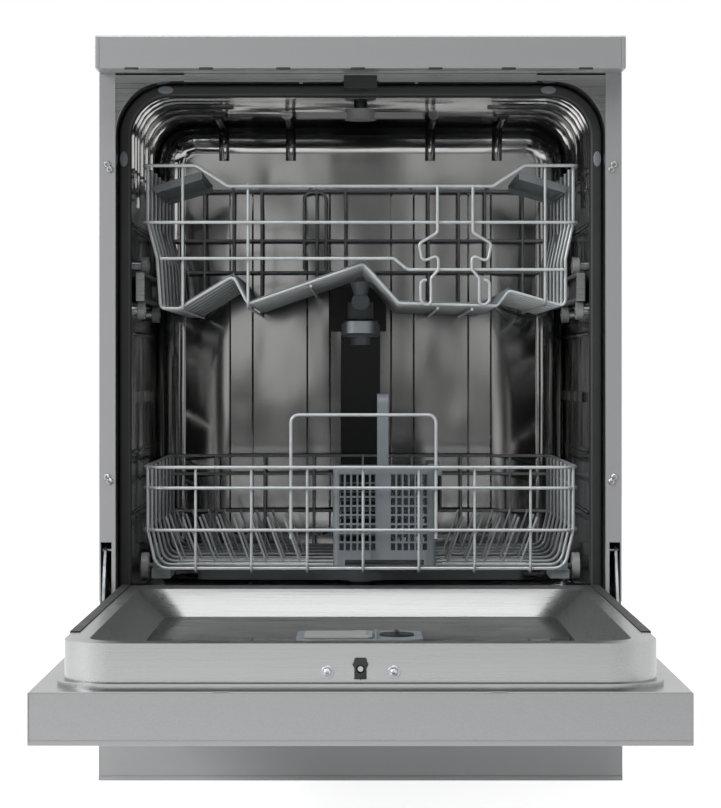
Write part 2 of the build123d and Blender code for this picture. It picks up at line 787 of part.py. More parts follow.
# Telescopic rails: a C-section each side with a closed front end
rail_front_y = 59.0
rail_back_y = 488.0
rail_wall = 1.2
rail_lip = 4.0
with BuildPart() as slide_rails:
    for side in (-1, 1):
        bar(
            (side * rail_inner_x, side * rail_outer_x),
            (rail_front_y, rail_back_y),
            (rail_low_z, rail_high_z),
        )
        bar(
            (side * (rail_inner_x + rail_wall), side * (rail_outer_x - rail_wall)),
            (rail_front_y + 2.5, rail_back_y + 1),
            (rail_low_z + rail_wall, rail_high_z - rail_wall),
            mode=Mode.SUBTRACT,
        )
        bar(
            (side * (rail_inner_x - 1), side * (rail_inner_x + rail_wall)),
            (rail_front_y + 2.5, rail_back_y + 1),
            (rail_low_z + rail_lip, rail_high_z - rail_lip),
            mode=Mode.SUBTRACT,
        )
save(slide_rails, "slide_rails")

# Upper rack: closed rim wires, cross ribs that follow the stepped floor, and long wires under them.
# From the front inwards come the rims, the upright ends of the long wires, and the first rib. The long wire
# left of the middle has no upright end at the front.
rib_half = rack_half_width - 2 * wire_radius - weld_gap
floor_line = (
    (-233, 540), (-211, 540), (-148, 578), (-131, 545), (3.5, 592),
    (45, 546), (159, 543), (173, 561), (239, 542),
)
upper_middle_z = 640.0
upper_low_z = 598.0
upper_dip_z = 682.0
dip_x = (154.0, 191.0)
long_inset = wire_radius + long_radius + weld_gap
long_front_y = rack_front_y + long_inset
long_back_y = rack_back_y - long_inset
rib_front_y = long_front_y + long_inset
rib_step = (long_back_y - long_inset - rib_front_y) / (rib_count - 1)
rib_y = [rib_front_y + index * rib_step for index in range(rib_count)]


def floor_z(x):
    """Height of the upper rack's floor line at one place across it."""
    for (x0, z0), (x1, z1) in zip(floor_line, floor_line[1:]):
        if x0 <= x <= x1:
            return z0 + (z1 - z0) * (x - x0) / (x1 - x0)
    return floor_line[0][1]


def loop_wire(half, front, back, z):
    """A closed wire round the rack at one height, as four straight bars that meet at the corners."""
    gap = wire_radius
    return [
        bent_wire([(-half - gap, front, z), (half + gap, front, z)]),
        bent_wire([(-half - gap, back, z), (half + gap, back, z)]),
        bent_wire([(-half, front + gap, z), (-half, back - gap, z)]),
        bent_wire([(half, front + gap, z), (half, back - gap, z)]),
    ]


rib_points = [(-rib_half, upper_rim_z), (-rib_half, upper_middle_z), (-rib_half + 11, upper_low_z)]
rib_points += [(x, z) for x, z in floor_line]
rib_points += [(rib_half - 9, upper_low_z), (rib_half, upper_middle_z), (rib_half, upper_rim_z)]
upper_wires = []
for y in rib_y:
    upper_wires.append(bent_wire([(x, y, z) for x, z in rib_points]))
upper_wires += loop_wire(rack_half_width, rack_front_y, rack_back_y, upper_rim_z)[1:]
upper_wires += loop_wire(rack_half_width, rack_front_y, rack_back_y, upper_middle_z)
rim_end_x = rack_half_width + wire_radius
dipped_rim = (
    (-rim_end_x, upper_rim_z), (-dip_x[1], upper_rim_z), (-dip_x[0], upper_dip_z),
    (dip_x[0], upper_dip_z), (dip_x[1], upper_rim_z), (rim_end_x, upper_rim_z),
)
upper_wires.append(bent_wire([(x, rack_front_y, z) for x, z in dipped_rim]))
low_x = (14.9 - rib_half, rib_half - 11.9)
stepped_low = (
    (low_x[0], upper_low_z), (39, upper_low_z), (55, upper_low_z - 13), (low_x[1], upper_low_z - 13),
)
upper_wires.append(bent_wire([(x, rack_front_y, z) for x, z in stepped_low]))
upper_wires.append(bent_wire([(x, rack_back_y, upper_low_z) for x in low_x]))
steepest_floor = 0.9
under = 2 * wire_radius / steepest_floor + weld_gap
for x in (-207.0, -131.0, -58.0, 90.0, 129.0, 215.0):
    low = floor_z(x) - under
    run = [(x, long_front_y, low), (x, long_back_y, low), (x, long_back_y, upper_rim_z)]
    if x != -58.0:
        run.insert(0, (x, long_front_y, upper_rim_z if abs(x) > dip_x[1] else upper_dip_z))
    upper_wires.append(bent_wire(run, thin_wire))
with BuildPart() as upper_basket:
    add(upper_wires)
save(upper_basket, "upper_basket")

# Wheel carriers of the upper rack, with their axles
carrier_sites = (292.0, 462.0)
rack_wheel_z = rail_low_z + rail_wall + 0.15 + rack_wheel_radius
rack_wheel_x = (rail_inner_x + rail_wall + 0.3, rail_outer_x - rail_wall - 0.3)
with BuildPart() as upper_wheel_carriers:
    for side in (-1, 1):
        for y in carrier_sites:
            bar(
                (side * (rack_half_width - 7.7), side * (rack_half_width - 1.6)),
                (y - 20, y + 20),
                (rail_low_z + 1, upper_middle_z - wire_radius - 0.2),
            )
            axle_end = side * (rack_wheel_x[1] + 0.2)
            rod((side * (rack_half_width - 2), y, rack_wheel_z), (axle_end, y, rack_wheel_z), 3)
        for y in rib_y:
            bar(
                (side * (rack_half_width - 12), side * rack_half_width),
                (y - 2.6, y + 2.6),
                (upper_low_z, upper_rim_z),
                mode=Mode.SUBTRACT,
            )
save(upper_wheel_carriers, "upper_wheel_carriers")

for y, name in zip(carrier_sites, ("rack_wheels_front", "rack_wheels_rear")):
    with BuildPart() as rack_wheel:
        for side in (-1, 1):
            rod(
                (side * rack_wheel_x[0], y, rack_wheel_z),
                (side * rack_wheel_x[1], y, rack_wheel_z),
                rack_wheel_radius,
            )
            bore = [(side * x, y, rack_wheel_z) for x in (rack_half_width - 2, rail_outer_x)]
            rod(*bore, 3.06, Mode.SUBTRACT)
    save(rack_wheel, name)

# Cup shelves: slatted plastic shelves hinged along their outer edge
shelf_pivot = (rack_half_width - 9.2, 681.0)
shelf_reach = 60.0
shelf_rise = 18.0
shelf_y = (72.0, 300.0)
shelf_thickness = 3.0
for side, name in ((-1, "cup_shelf_left"), (1, "cup_shelf_right")):
    outer = Vector(side * shelf_pivot[0], 0, shelf_pivot[1])
    along = Vector(-side * shelf_reach, 0, shelf_rise).normalized()
    across = Vector(0, 1, 0).cross(along) * side
    shelf_plane = Plane(origin=outer + Vector(0, shelf_y[0], 0), x_dir=along, z_dir=across)
    length = shelf_y[1] - shelf_y[0]
    lean = 1 if shelf_plane.y_dir.Y > 0 else -1
    with BuildPart() as cup_shelf:
        with BuildSketch(shelf_plane):
            with Locations((shelf_reach / 2, lean * length / 2)):
                Rectangle(shelf_reach, length)
                with GridLocations(1, 12, 1, 18):
                    Rectangle(shelf_reach - 12, 7, mode=Mode.SUBTRACT)
        extrude(amount=shelf_thickness)
        rod(
            (side * shelf_pivot[0], shelf_y[0], shelf_pivot[1]),
            (side * shelf_pivot[0], shelf_y[1], shelf_pivot[1]),
            2.5,
        )
    save(cup_shelf, name)

# Middle spray arm and the tube that feeds it from the rear
feed_z = 553.0
conduit_half = 26.0
block_y = conduit_y - 8
arm_z = (504.0, 526.0)
arm_y = 283.0
with BuildPart() as mid_feed_tube:
    rod((0, arm_y - 45, feed_z), (0, block_y - 11.3, feed_z), 11)
    rod((0, arm_y, arm_z[1] + 6.4), (0, arm_y, feed_z), 16)
    rod((0, arm_y, arm_z[0] - 4), (0, arm_y, feed_z), 7)
    rod((0, arm_y, arm_z[0] - 4), (0, arm_y, arm_z[0] + 5.7), 12)
    with BuildSketch(Plane.XY.offset(feed_z + 8)):
        with Locations((0, arm_y - 45)):
            Circle(8)
    with BuildSketch(Plane.XY.offset(feed_z + 24)):
        with Locations((0, arm_y - 45)):
            Circle(13)
    loft()
    for y in rib_y[-3:-1]:
        bar((-5, 5), (y - 4, y + 4), (feed_z, floor_z(-5) - wire_radius - 0.5))
save(mid_feed_tube, "mid_feed_tube")


def spray_arm(reach, low_z, high_z, middle, hub_radius, bore_radius, half_width_root, half_width_tip, turned):
    """A two-ended spray arm with a hub and a row of nozzle holes."""
    with BuildPart() as arm:
        with BuildSketch(Plane.XY.offset(low_z)):
            with BuildLine():
                Polyline(
                    (-reach, -half_width_tip), (0, -half_width_root), (reach, -half_width_tip),
                    (reach, half_width_tip), (0, half_width_root), (-reach, half_width_tip),
                    close=True,
                )
            make_face()
        extrude(amount=high_z - low_z)
        fillet(arm.edges().filter_by(Axis.Z).group_by(SortBy.DISTANCE)[-1], half_width_tip * 0.6)
        with BuildSketch(Plane.XY.offset(low_z - 2)):
            Circle(hub_radius)
        extrude(amount=high_z - low_z + 6)
        with BuildSketch(Plane.XY.offset(low_z - 3)):
            Circle(bore_radius)
        extrude(amount=high_z - low_z + 20, mode=Mode.SUBTRACT)
        with BuildSketch(Plane.XY.offset(high_z)):
            for index in range(1, 5):
                for side in (-1, 1):
                    with Locations((side * (hub_radius + (reach - hub_radius - 12) * index / 4), 0)):
                        SlotOverall(9, 3)
        extrude(amount=-3, mode=Mode.SUBTRACT)
    return Pos(*middle) * Rot(0, 0, turned) * arm.part


with BuildPart() as mid_spray_arm:
    add(spray_arm(190, arm_z[0] + 8, arm_z[1], (0, arm_y, 0), 22, 7.2, 24, 15, 90))
save(mid_spray_arm, "mid_spray_arm")

# Feed: an inner conduit up the back wall, and a duct outside the tub to the top sprayer
with BuildPart() as feed_pipe:
    bend = (tub_back_y - tub_back_corner, tub_floor_z + tub_back_corner)
    reach = tub_back_corner - 0.3 - conduit_depth / 2
    with BuildSketch(side_plane(-conduit_half)):
        with BuildLine() as run:
            Line((sump_y + sump_hole_radius + 10, bend[1] - reach), (bend[0], bend[1] - reach))
            CenterArc(bend, reach, -90, 90)
            Line((bend[0] + reach, bend[1]), (bend[0] + reach, 522))
        trace(line_width=conduit_depth)
    extrude(amount=2 * conduit_half)
    bar((-40.5, 34), (conduit_y - 8, tub_back_y - 4.5), (520, 578))
    rod((0, block_y - 11, feed_z), (0, block_y + 1, feed_z), 15)
    rod((0, block_y - 11.5, feed_z), (0, block_y - 4, feed_z), 11.4, Mode.SUBTRACT)
    bar((-20, 20), (tub_back_y + tub_sheet + 0.3, rear_flange_y - 8), (150, tub_top_z + 13))
    bar((-20, 20), (sprayer_y - 20, rear_flange_y - 8), (tub_top_z + tub_sheet + 0.2, tub_top_z + 13))
    rod((0, sprayer_y, tub_top_z - 14), (0, sprayer_y, tub_top_z + 2), 8)
save(feed_pipe, "feed_pipe")

with BuildPart() as top_sprayer:
    add(spray_arm(78, tub_top_z - 17, tub_top_z - 10, (0, sprayer_y, 0), 19, 8.2, 10, 7, 0))
    with BuildSketch(Plane.XY.offset(tub_top_z - 19)):
        with Locations((0, sprayer_y)):
            Circle(19)
    extrude(amount=4)
save(top_sprayer, "top_sprayer")

# Lower rack: three closed rim wires, cross ribs and long wires
lower_middle_z = 331.0
lower_low_z = 282.0
long_floor_z = lower_floor_z - 2 * wire_radius - weld_gap
foot_run = 10.0
long_x = [-192.0 + long_pitch * index for index in range(7)]
lower_wires = []
for z in (lower_rim_z, lower_middle_z, lower_low_z):
    lower_wires += loop_wire(rack_half_width, rack_front_y, rack_back_y, z)
for y in rib_y:
    lower_wires.append(
        bent_wire(
            [
                (-rib_half, y, lower_rim_z),
                (-rib_half, y, lower_low_z),
                (-rib_half + foot_run, y, lower_floor_z),
                (rib_half - foot_run, y, lower_floor_z),
                (rib_half, y, lower_low_z),
                (rib_half, y, lower_rim_z),
            ]
        )
    )
for x in long_x:
    lower_wires.append(
        bent_wire(
            [
                (x, long_front_y, lower_rim_z - 1),
                (x, long_front_y, long_floor_z),
                (x, long_back_y, long_floor_z),
                (x, long_back_y, lower_rim_z - 1),
            ],
            long_radius,
        )
    )
arch_left, arch_right = arch_x
arch_foot, arch_top = arch_z
arch_corners = (
    (arch_left, arch_foot), (arch_left, arch_top),
    (arch_right, arch_top), (arch_right, arch_foot),
)
arch_y = rack_front_y + 2 * wire_radius + weld_gap
lower_wires.append(bent_wire([(x, arch_y, z) for x, z in arch_corners]))
tine_height = 56.0
tine_lean = 20.0
tine_radius = 1.6
left_tines = (-214.0, 20.3, 8, -1)
right_tines = (104.0, 22.0, 5, 1)
fixed_rows_y = (150.0, 215.0)
folding_row_y = 330.0
tine_z = long_floor_z + long_radius + tine_radius + weld_gap


def tine_row(start, tine_pitch, count, lean, y):
    """A row of leaning tines on a carrier wire that runs across the rack."""
    end = start + tine_pitch * (count - 1)
    wires = [bent_wire([(start - 6, y, tine_z), (end + 6, y, tine_z)], tine_radius)]
    for index in range(count):
        x = start + tine_pitch * index
        top = (x + lean * tine_lean, y, tine_z + tine_height)
        wires.append(bent_wire([(x, y, tine_z + tine_radius + weld_gap), top], tine_radius))
    return wires


for y in fixed_rows_y:
    lower_wires += tine_row(*left_tines, y)
    lower_wires += tine_row(*right_tines, y)
with BuildPart() as lower_basket:
    add(lower_wires)
save(lower_basket, "lower_basket")

for name, row in (("tines_left", left_tines), ("tines_right", right_tines)):
    row_wires = tine_row(*row, folding_row_y)
    with BuildPart() as tines:
        add(row_wires)
    save(tines, name)

# Wheel clips under the lower rack, with axles for the coaxial wheel pairs
wheel_sites = (98.0, 285.0, 440.0)
wheel_inner_x = rack_half_width - 2.5
clip_top_z = lower_floor_z - wire_radius - weld_gap
with BuildPart() as lower_wheel_clips:
    for side in (-1, 1):
        for y in wheel_sites:
            clip_outer = side * (rack_half_width - 8)
            clip_foot_z = long_floor_z - 8
            bar((side * (rack_half_width - 30), clip_outer), (y - 36, y + 36), (clip_foot_z, clip_top_z))
            bar((side * (rack_half_width - 15), clip_outer), (y - 9, y + 9), (clip_foot_z, wheel_axis_z + 6))
            axle_x = (rack_half_width - 9, wheel_inner_x + wheel_width + 1)
            axle = [(side * x, y, wheel_axis_z) for x in axle_x]
            rod(*axle, 3)
save(lower_wheel_clips, "lower_wheel_clips")

wheel_names = ("lower_wheels_front", "lower_wheels_middle", "lower_wheels_rear")
for y, name in zip(wheel_sites, wheel_names):
    with BuildPart() as wheel_pair:
        for side in (-1, 1):
            rod(
                (side * wheel_inner_x, y, wheel_axis_z),
                (side * (wheel_inner_x + wheel_width), y, wheel_axis_z),
                wheel_radius,
            )
            bore = [(side * x, y, wheel_axis_z) for x in (rack_half_width - 12, rack_half_width + 10)]
            rod(*bore, 3.06, Mode.SUBTRACT)
    save(wheel_pair, name)

# Cutlery basket: a latticed box in two halves with a handle between them, and a flip lid
basket_x = (-32.0, 88.0)
basket_y = (62.5, 200.0)
basket_z = (lower_floor_z + wire_radius + 0.4, 353.0)
handle_x = (20.0, 33.0)
handle_top_z = 440.0
basket_wall = 2.5
lid_pivot_x = basket_x[1] + 4.5
lid_pivot_z = basket_z[1] + 3.2
lid_pin_radius = 1.5
lattice_pitch_x = 7.4
lattice_pitch_z = 10.6
lattice_bar = 2.2
lattice_columns = 6
lattice_rows = 7
head_row = 1.6
lattice_foot_z = basket_z[0] + 17
lattice_middle_z = lattice_foot_z + lattice_rows / 2 * lattice_pitch_z
lattice_head_z = lattice_foot_z + (lattice_rows + head_row / 2) * lattice_pitch_z
lattice_reach = lattice_columns / 2 * lattice_pitch_x + 1.4
with BuildPart() as cutlery_basket:
    bar(basket_x, basket_y, basket_z)
    fillet(cutlery_basket.edges().filter_by(Axis.Z), 6)
    for span in ((basket_x[0] + basket_wall, handle_x[0]), (handle_x[1], basket_x[1] - basket_wall)):
        bar(
            span,
            (basket_y[0] + basket_wall, basket_y[1] - basket_wall),
            (basket_z[0] + 12, basket_z[1] + 1),
            mode=Mode.SUBTRACT,
        )
    bar(
        (basket_x[0] + 14, basket_x[1] - 14),
        basket_y,
        (basket_z[0] - 1, basket_z[0] + 7),
        mode=Mode.SUBTRACT,
    )
    for centre in (handle_x[0] - lattice_reach, handle_x[1] + lattice_reach):
        with BuildSketch(front_plane(basket_y[0] - 1)):
            with Locations((centre, lattice_middle_z)):
                with GridLocations(lattice_pitch_x, lattice_pitch_z, lattice_columns, lattice_rows):
                    Rectangle(lattice_pitch_x - lattice_bar, lattice_pitch_z - lattice_bar)
            with Locations((centre, lattice_head_z)):
                with GridLocations(lattice_pitch_x, 1, lattice_columns, 1):
                    Rectangle(lattice_pitch_x - lattice_bar, head_row * lattice_pitch_z - lattice_bar)
        extrude(amount=-(basket_y[1] - basket_y[0] + 2), mode=Mode.SUBTRACT)
    for y in (basket_y[0] + 1, basket_y[1] - 3.6):
        bar((basket_x[1] - 9, lid_pivot_x + 2.5), (y, y + 2.6), (basket_z[1] - 8, lid_pivot_z + 2.5))
    rod(
        (lid_pivot_x, basket_y[0], lid_pivot_z), (lid_pivot_x, basket_y[1], lid_pivot_z),
        lid_pin_radius + 0.06, Mode.SUBTRACT,
    )
    bar(handle_x, (basket_y[0] + 30, basket_y[1] - 30), (basket_z[1] - 20, handle_top_z))
    fillet(
        [e for e in cutlery_basket.edges().filter_by(Axis.X) if e.center().Z > handle_top_z - 1],
        12,
    )
    bar(
        (handle_x[0] - 1, handle_x[1] + 1),
        (basket_y[0] + 44, basket_y[1] - 44),
        (handle_top_z - 40, handle_top_z - 16),
        mode=Mode.SUBTRACT,
    )
save(cutlery_basket, "cutlery_basket")

lid_reach = 50.0
with BuildPart() as cutlery_lid:
    with BuildSketch(side_plane(lid_pivot_x)):
        with Locations(((basket_y[0] + basket_y[1]) / 2, lid_pivot_z - lid_reach / 2)):
            Rectangle(basket_y[1] - basket_y[0] - 8.4, lid_reach)
            with GridLocations(18, 18, 6, 2):
                Rectangle(12, 12, mode=Mode.SUBTRACT)
    extrude(amount=2.5)
    rod(
        (lid_pivot_x, basket_y[0] + 0.8, lid_pivot_z), (lid_pivot_x, basket_y[1] - 0.8, lid_pivot_z),
        lid_pin_radius,
    )
save(cutlery_lid, "cutlery_lid")

# Sump below the tub floor, with the post of the lower arm, and the pumps beside it
sump_wall = 3.0
filter_x = 58.0
filter_y = sump_y - 36.0
filter_radius = 30.0
arm_post_radius = 13.0
lower_arm_z = (208.0, 219.0)
sump_foot_z = 127.0
with BuildPart() as sump:
    with BuildSketch(Plane.XY.offset(tub_floor_z + 0.1)):
        with Locations((0, sump_y)):
            Circle(sump_hole_radius + 9)
            with Locations((filter_x, filter_y - sump_y)):
                Circle(filter_radius + 0.5, mode=Mode.SUBTRACT)
    extrude(amount=sump_wall)
    with BuildSketch(Plane.XY.offset(tub_floor_z + 1)):
        with Locations((0, sump_y)):
            Circle(sump_hole_radius - 2)
    extrude(amount=sump_foot_z - tub_floor_z - 1, taper=14)
    with BuildSketch(Plane.XY.offset(tub_floor_z - 1)):
        with Locations((filter_x, filter_y)):
            Circle(filter_radius + 0.5)
    extrude(amount=-46, mode=Mode.SUBTRACT)
    with BuildSketch(Plane.XY.offset(tub_floor_z + 1)):
        with Locations((filter_x, filter_y)):
            Circle(filter_radius + 0.5)
    extrude(amount=-4, mode=Mode.SUBTRACT)
    rod((0, sump_y, tub_floor_z), (0, sump_y, 224), arm_post_radius)
    rod((0, sump_y, tub_floor_z), (0, sump_y, lower_arm_z[0] - 2.3), 20)
save(sump, "sump")

with BuildPart() as lower_spray_arm:
    add(spray_arm(203, *lower_arm_z, (0, sump_y, 0), 27, arm_post_radius + 0.2, 26, 17, 0))
save(lower_spray_arm, "lower_spray_arm")

with BuildPart() as filter_cup:
    rod((filter_x, filter_y, tub_floor_z - 44), (filter_x, filter_y, tub_floor_z + 7), filter_radius)
    rod(
        (filter_x, filter_y, tub_floor_z - 30),
        (filter_x, filter_y, tub_floor_z + 8),
        filter_radius - 3,
        Mode.SUBTRACT,
    )
    bar(
        (filter_x - filter_radius + 2, filter_x + filter_radius - 2),
        (filter_y - 3, filter_y + 3),
        (tub_floor_z - 31, tub_floor_z + 7),
    )
save(filter_cup, "filter_cup")

float_x = 205.0
float_y = 110.0
with BuildPart() as float_dome:
    rod((float_x, float_y, tub_floor_z + 0.2), (float_x, float_y, tub_floor_z + 12), 17)
    fillet(float_dome.edges().sort_by(Axis.Z)[-1], 5)
save(float_dome, "float_dome")

motor_z = 84.0
with BuildPart() as wash_pump:
    rod((-70, sump_y, motor_z), (-190, sump_y, motor_z), 36)
    rod((-50, sump_y, motor_z), (-70, sump_y, motor_z), 41)
    rod((-36, sump_y, motor_z), (-50, sump_y, motor_z), 18)
    bar((-170, -110), (sump_y - 25, sump_y + 25), (tray_foot_z + tray_wall + 0.2, motor_z - 30))
    rod((-60, sump_y - 26, motor_z), (-60, sump_y - 26, sump_foot_z - 0.2), 8)
save(wash_pump, "wash_pump")

drain_pump_y = 400.0
spigot_radius = 10.0
spigot_y = 543.0
with BuildPart() as drain_pump:
    rod((60, drain_pump_y, 80), (110, drain_pump_y, 80), 24)
    rod((110, drain_pump_y, 80), (118, drain_pump_y, 80), 30)
    rod((118, drain_pump_y, 80), (160, drain_pump_y, 80), 20)
    bar((70, 104), (drain_pump_y - 14, drain_pump_y + 14), (tray_foot_z + tray_wall + 0.2, 66))
    rod((drain_x, drain_pump_y, hose_z), (drain_x, spigot_y, hose_z), spigot_radius + 1)
    rod((drain_x, spigot_y, hose_z), (drain_x, spigot_y + 24, hose_z), spigot_radius)
save(drain_pump, "drain_pump")

inlet_radius = 13.0
with BuildPart() as inlet_valve:
    bar((inlet_x - 20, inlet_x + 20), (450, 500), (tray_foot_z + tray_wall + 0.2, 66))
    bar((inlet_x - 14, inlet_x + 14), (455, 490), (66, 90))
    rod((inlet_x, 499, hose_z), (inlet_x, spigot_y, hose_z), inlet_radius - 2)
    rod((inlet_x, spigot_y, hose_z), (inlet_x, spigot_y + 22, hose_z), inlet_radius)
    rod((inlet_x, 510, hose_z), (inlet_x, spigot_y + 23, hose_z), 9, Mode.SUBTRACT)
save(inlet_valve, "inlet_valve")

for side, name in ((-1, "foot_left"), (1, "foot_right")):
    with BuildPart() as foot:
        rod((side * foot_x, foot_y, 0), (side * foot_x, foot_y, 9), 20)
        rod((side * foot_x, foot_y, 8), (side * foot_x, foot_y, 54), 6)
    save(foot, name)
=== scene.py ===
"""The looks of a free-standing dishwasher with its door let down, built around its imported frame."""

import json
import math

import bmesh
import bpy
from bpy.props import FloatProperty, FloatVectorProperty, IntProperty, PointerProperty
from mathutils import Matrix, Vector


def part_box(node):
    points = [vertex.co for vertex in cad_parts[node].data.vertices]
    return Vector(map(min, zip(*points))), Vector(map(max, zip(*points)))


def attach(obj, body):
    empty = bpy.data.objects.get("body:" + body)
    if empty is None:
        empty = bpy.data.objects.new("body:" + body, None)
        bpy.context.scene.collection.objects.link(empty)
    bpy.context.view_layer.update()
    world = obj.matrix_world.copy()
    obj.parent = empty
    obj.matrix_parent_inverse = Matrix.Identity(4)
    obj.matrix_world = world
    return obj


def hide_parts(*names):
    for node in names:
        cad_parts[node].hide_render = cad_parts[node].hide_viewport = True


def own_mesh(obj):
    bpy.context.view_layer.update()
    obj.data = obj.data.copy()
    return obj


bl_info = {
    "name": "Dishwasher",
    "version": (1, 0, 0),
    "blender": (4, 5, 0),
    "location": "3D View > Sidebar > Dishwasher",
    "description": "Dresses a dishwasher's frame with its racks, linings, seals and finishes",
    "category": "Object",
}

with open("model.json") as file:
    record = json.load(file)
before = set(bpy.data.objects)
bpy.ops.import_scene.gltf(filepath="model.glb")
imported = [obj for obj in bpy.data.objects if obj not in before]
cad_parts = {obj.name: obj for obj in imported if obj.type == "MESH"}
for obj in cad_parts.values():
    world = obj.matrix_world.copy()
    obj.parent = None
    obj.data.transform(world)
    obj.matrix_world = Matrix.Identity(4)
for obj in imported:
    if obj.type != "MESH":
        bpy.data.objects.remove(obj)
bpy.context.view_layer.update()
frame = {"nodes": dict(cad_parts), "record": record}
NODES = frame["nodes"]
MM = 0.001


def linear(code):
    """The linear colour of an sRGB hex code."""
    channels = [int(code[i : i + 2], 16) / 255 for i in (0, 2, 4)]
    return tuple(c / 12.92 if c <= 0.04045 else ((c + 0.055) / 1.055) ** 2.4 for c in channels)


def mm(x, y, z):
    """A point given in millimetres."""
    return Vector((x, y, z)) * MM


def span(name):
    """Lowest and highest corner of a frame node, in millimetres."""
    low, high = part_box(name)
    return low / MM, high / MM


def length(name, description, millimetres):
    """A length that the user can change."""
    return FloatProperty(name=name, description=description, default=millimetres * MM, unit="LENGTH")


def tone(name, description, code):
    """A colour that the user can change."""
    return FloatVectorProperty(name=name, description=description, subtype="COLOR", default=linear(code))


def watts(name, description, power):
    """A lamp's power that the user can change."""
    return FloatProperty(name=name, description=description, default=power, unit="POWER")


class WireSizes(bpy.types.PropertyGroup):
    """Thickness and bend of the racks' wires"""

    rim: length("Rim wire", "Thickness of the rim and rib wires", 4.0)
    long: length("Long wire", "Thickness of the wires that run front to back", 3.4)
    tine: length("Tine", "Thickness of the plate tines", 3.0)
    bend: length("Bend", "Radius at the middle of a wire's bend", 9.0)
    net: length("Net wire", "Thickness of the fine floor net", 1.5)
    net_pitch: length("Net pitch", "Distance between the net's wires", 3.6)
    sides: IntProperty(name="Sides", description="Faces around a round wire", default=10, min=3)


class StudioLevels(bpy.types.PropertyGroup):
    """Light levels of the studio"""

    ambient: FloatProperty(name="Ambient", description="Light on matt surfaces from all round", default=0.33)
    key: watts("Key", "Power of the soft box at the left front", 112.0)
    fill: watts("Fill", "Power of the soft box at the right front", 8.0)
    top: watts("Top", "Power of the soft box overhead", 34.0)


class FinishColours(bpy.types.PropertyGroup):
    """Colours of the finishes that cover most of the machine"""

    enamel: tone("Enamel", "Silver enamel of the casing", "9a9b9c")
    stainless: tone("Stainless", "Brushed stainless steel", "a6a7a7")
    tub: tone("Tub", "Bright drawn stainless steel of the tub", "a6a6a5")
    wire: tone("Rack wire", "Grey nylon over the rack wires", "b1b6b8")
    moulding: tone("Grey moulding", "Grey polypropylene", "6c7377")


# Materials


# Most of a noise pattern lies between these two values
PATTERN_LOW = 0.3
PATTERN_HIGH = 0.7


def add_node(tree, kind, settings=None, inputs=None):
    """Adds a node, sets its properties, and sets its inputs or links them to sockets."""
    made = tree.nodes.new(kind)
    for key, value in (settings or {}).items():
        setattr(made, key, value)
    for key, value in (inputs or {}).items():
        if isinstance(value, bpy.types.NodeSocket):
            tree.links.new(value, made.inputs[key])
        else:
            made.inputs[key].default_value = value
    return made


def opaque(colour):
    return (*colour, 1.0)


def new_surface(name, colour, metallic, roughness, **sockets):
    """A material with a Principled surface; gives the material, its tree and its shader."""
    material = bpy.data.materials.new(name)
    material.use_nodes = True
    tree = material.node_tree
    shader = tree.nodes["Principled BSDF"]
    shader.inputs["Base Color"].default_value = opaque(colour)
    shader.inputs["Metallic"].default_value = metallic
    shader.inputs["Roughness"].default_value = roughness
    for key, value in sockets.items():
        shader.inputs[key.replace("_", " ")].default_value = value
    return material, tree, shader


def pattern(tree, stretch, detail=3.0, roughness=0.55, distortion=0.0):
    """Noise on object coordinates; stretch is how many features fit in a metre each way."""
    place = add_node(tree, "ShaderNodeTexCoord")
    scaled = add_node(tree, "ShaderNodeMapping", inputs={"Vector": place.outputs["Object"], "Scale": stretch})
    return add_node(
        tree,
        "ShaderNodeTexNoise",
        inputs={
            "Vector": scaled.outputs["Vector"],
            "Scale": 1.0,
            "Detail": detail,
            "Roughness": roughness,
            "Distortion": distortion,
        },
    ).outputs["Fac"]


def tint(tree, shader, factor, dark, light):
    """Colours the surface between two shades by a pattern."""
    ramp = add_node(tree, "ShaderNodeValToRGB", inputs={"Fac": factor})
    ramp.color_ramp.elements[0].position = PATTERN_LOW
    ramp.color_ramp.elements[1].position = PATTERN_HIGH
    ramp.color_ramp.elements[0].color = opaque(dark)
    ramp.color_ramp.elements[1].color = opaque(light)
    tree.links.new(ramp.outputs["Color"], shader.inputs["Base Color"])


def vary_roughness(tree, shader, factor, low, high):
    spread = add_node(
        tree,
        "ShaderNodeMapRange",
        inputs={
            "Value": factor,
            "From Min": PATTERN_LOW,
            "From Max": PATTERN_HIGH,
            "To Min": low,
            "To Max": high,
        },
    )
    tree.links.new(spread.outputs["Result"], shader.inputs["Roughness"])


def raise_bumps(tree, shader, factor, depth, strength=1.0):
    bump = add_node(
        tree, "ShaderNodeBump", inputs={"Height": factor, "Distance": depth, "Strength": strength}
    )
    tree.links.new(bump.outputs["Normal"], shader.inputs["Normal"])


def shade(colour, amount):
    return tuple(c * amount for c in colour)


def silver_enamel():
    """Powder-coated steel with fine silver flake: soft sheen and a faint speckle."""
    colour = tuple(bpy.context.scene.dishwasher_colours.enamel)
    material, tree, shader = new_surface(
        "silver powder enamel", colour, 0.45, 0.38, Coat_Weight=0.2, Coat_Roughness=0.2
    )
    flake = pattern(tree, (1900, 1900, 1900), detail=1.0)
    tint(tree, shader, flake, shade(colour, 0.95), shade(colour, 1.05))
    peel = pattern(tree, (420, 420, 420), detail=1.0)
    raise_bumps(tree, shader, peel, 0.00001, 0.3)
    return material


def brushed_stainless():
    """Stainless sheet brushed from side to side: long fine scratches that stretch each highlight."""
    colour = tuple(bpy.context.scene.dishwasher_colours.stainless)
    material, tree, shader = new_surface("brushed stainless steel", colour, 1.0, 0.3, Anisotropic=0.35)
    grain = pattern(tree, (6, 900, 900), detail=4.0, roughness=0.7)
    tint(tree, shader, grain, shade(colour, 0.9), shade(colour, 1.03))
    vary_roughness(tree, shader, grain, 0.24, 0.36)
    raise_bumps(tree, shader, grain, 0.00002, 0.4)
    return material


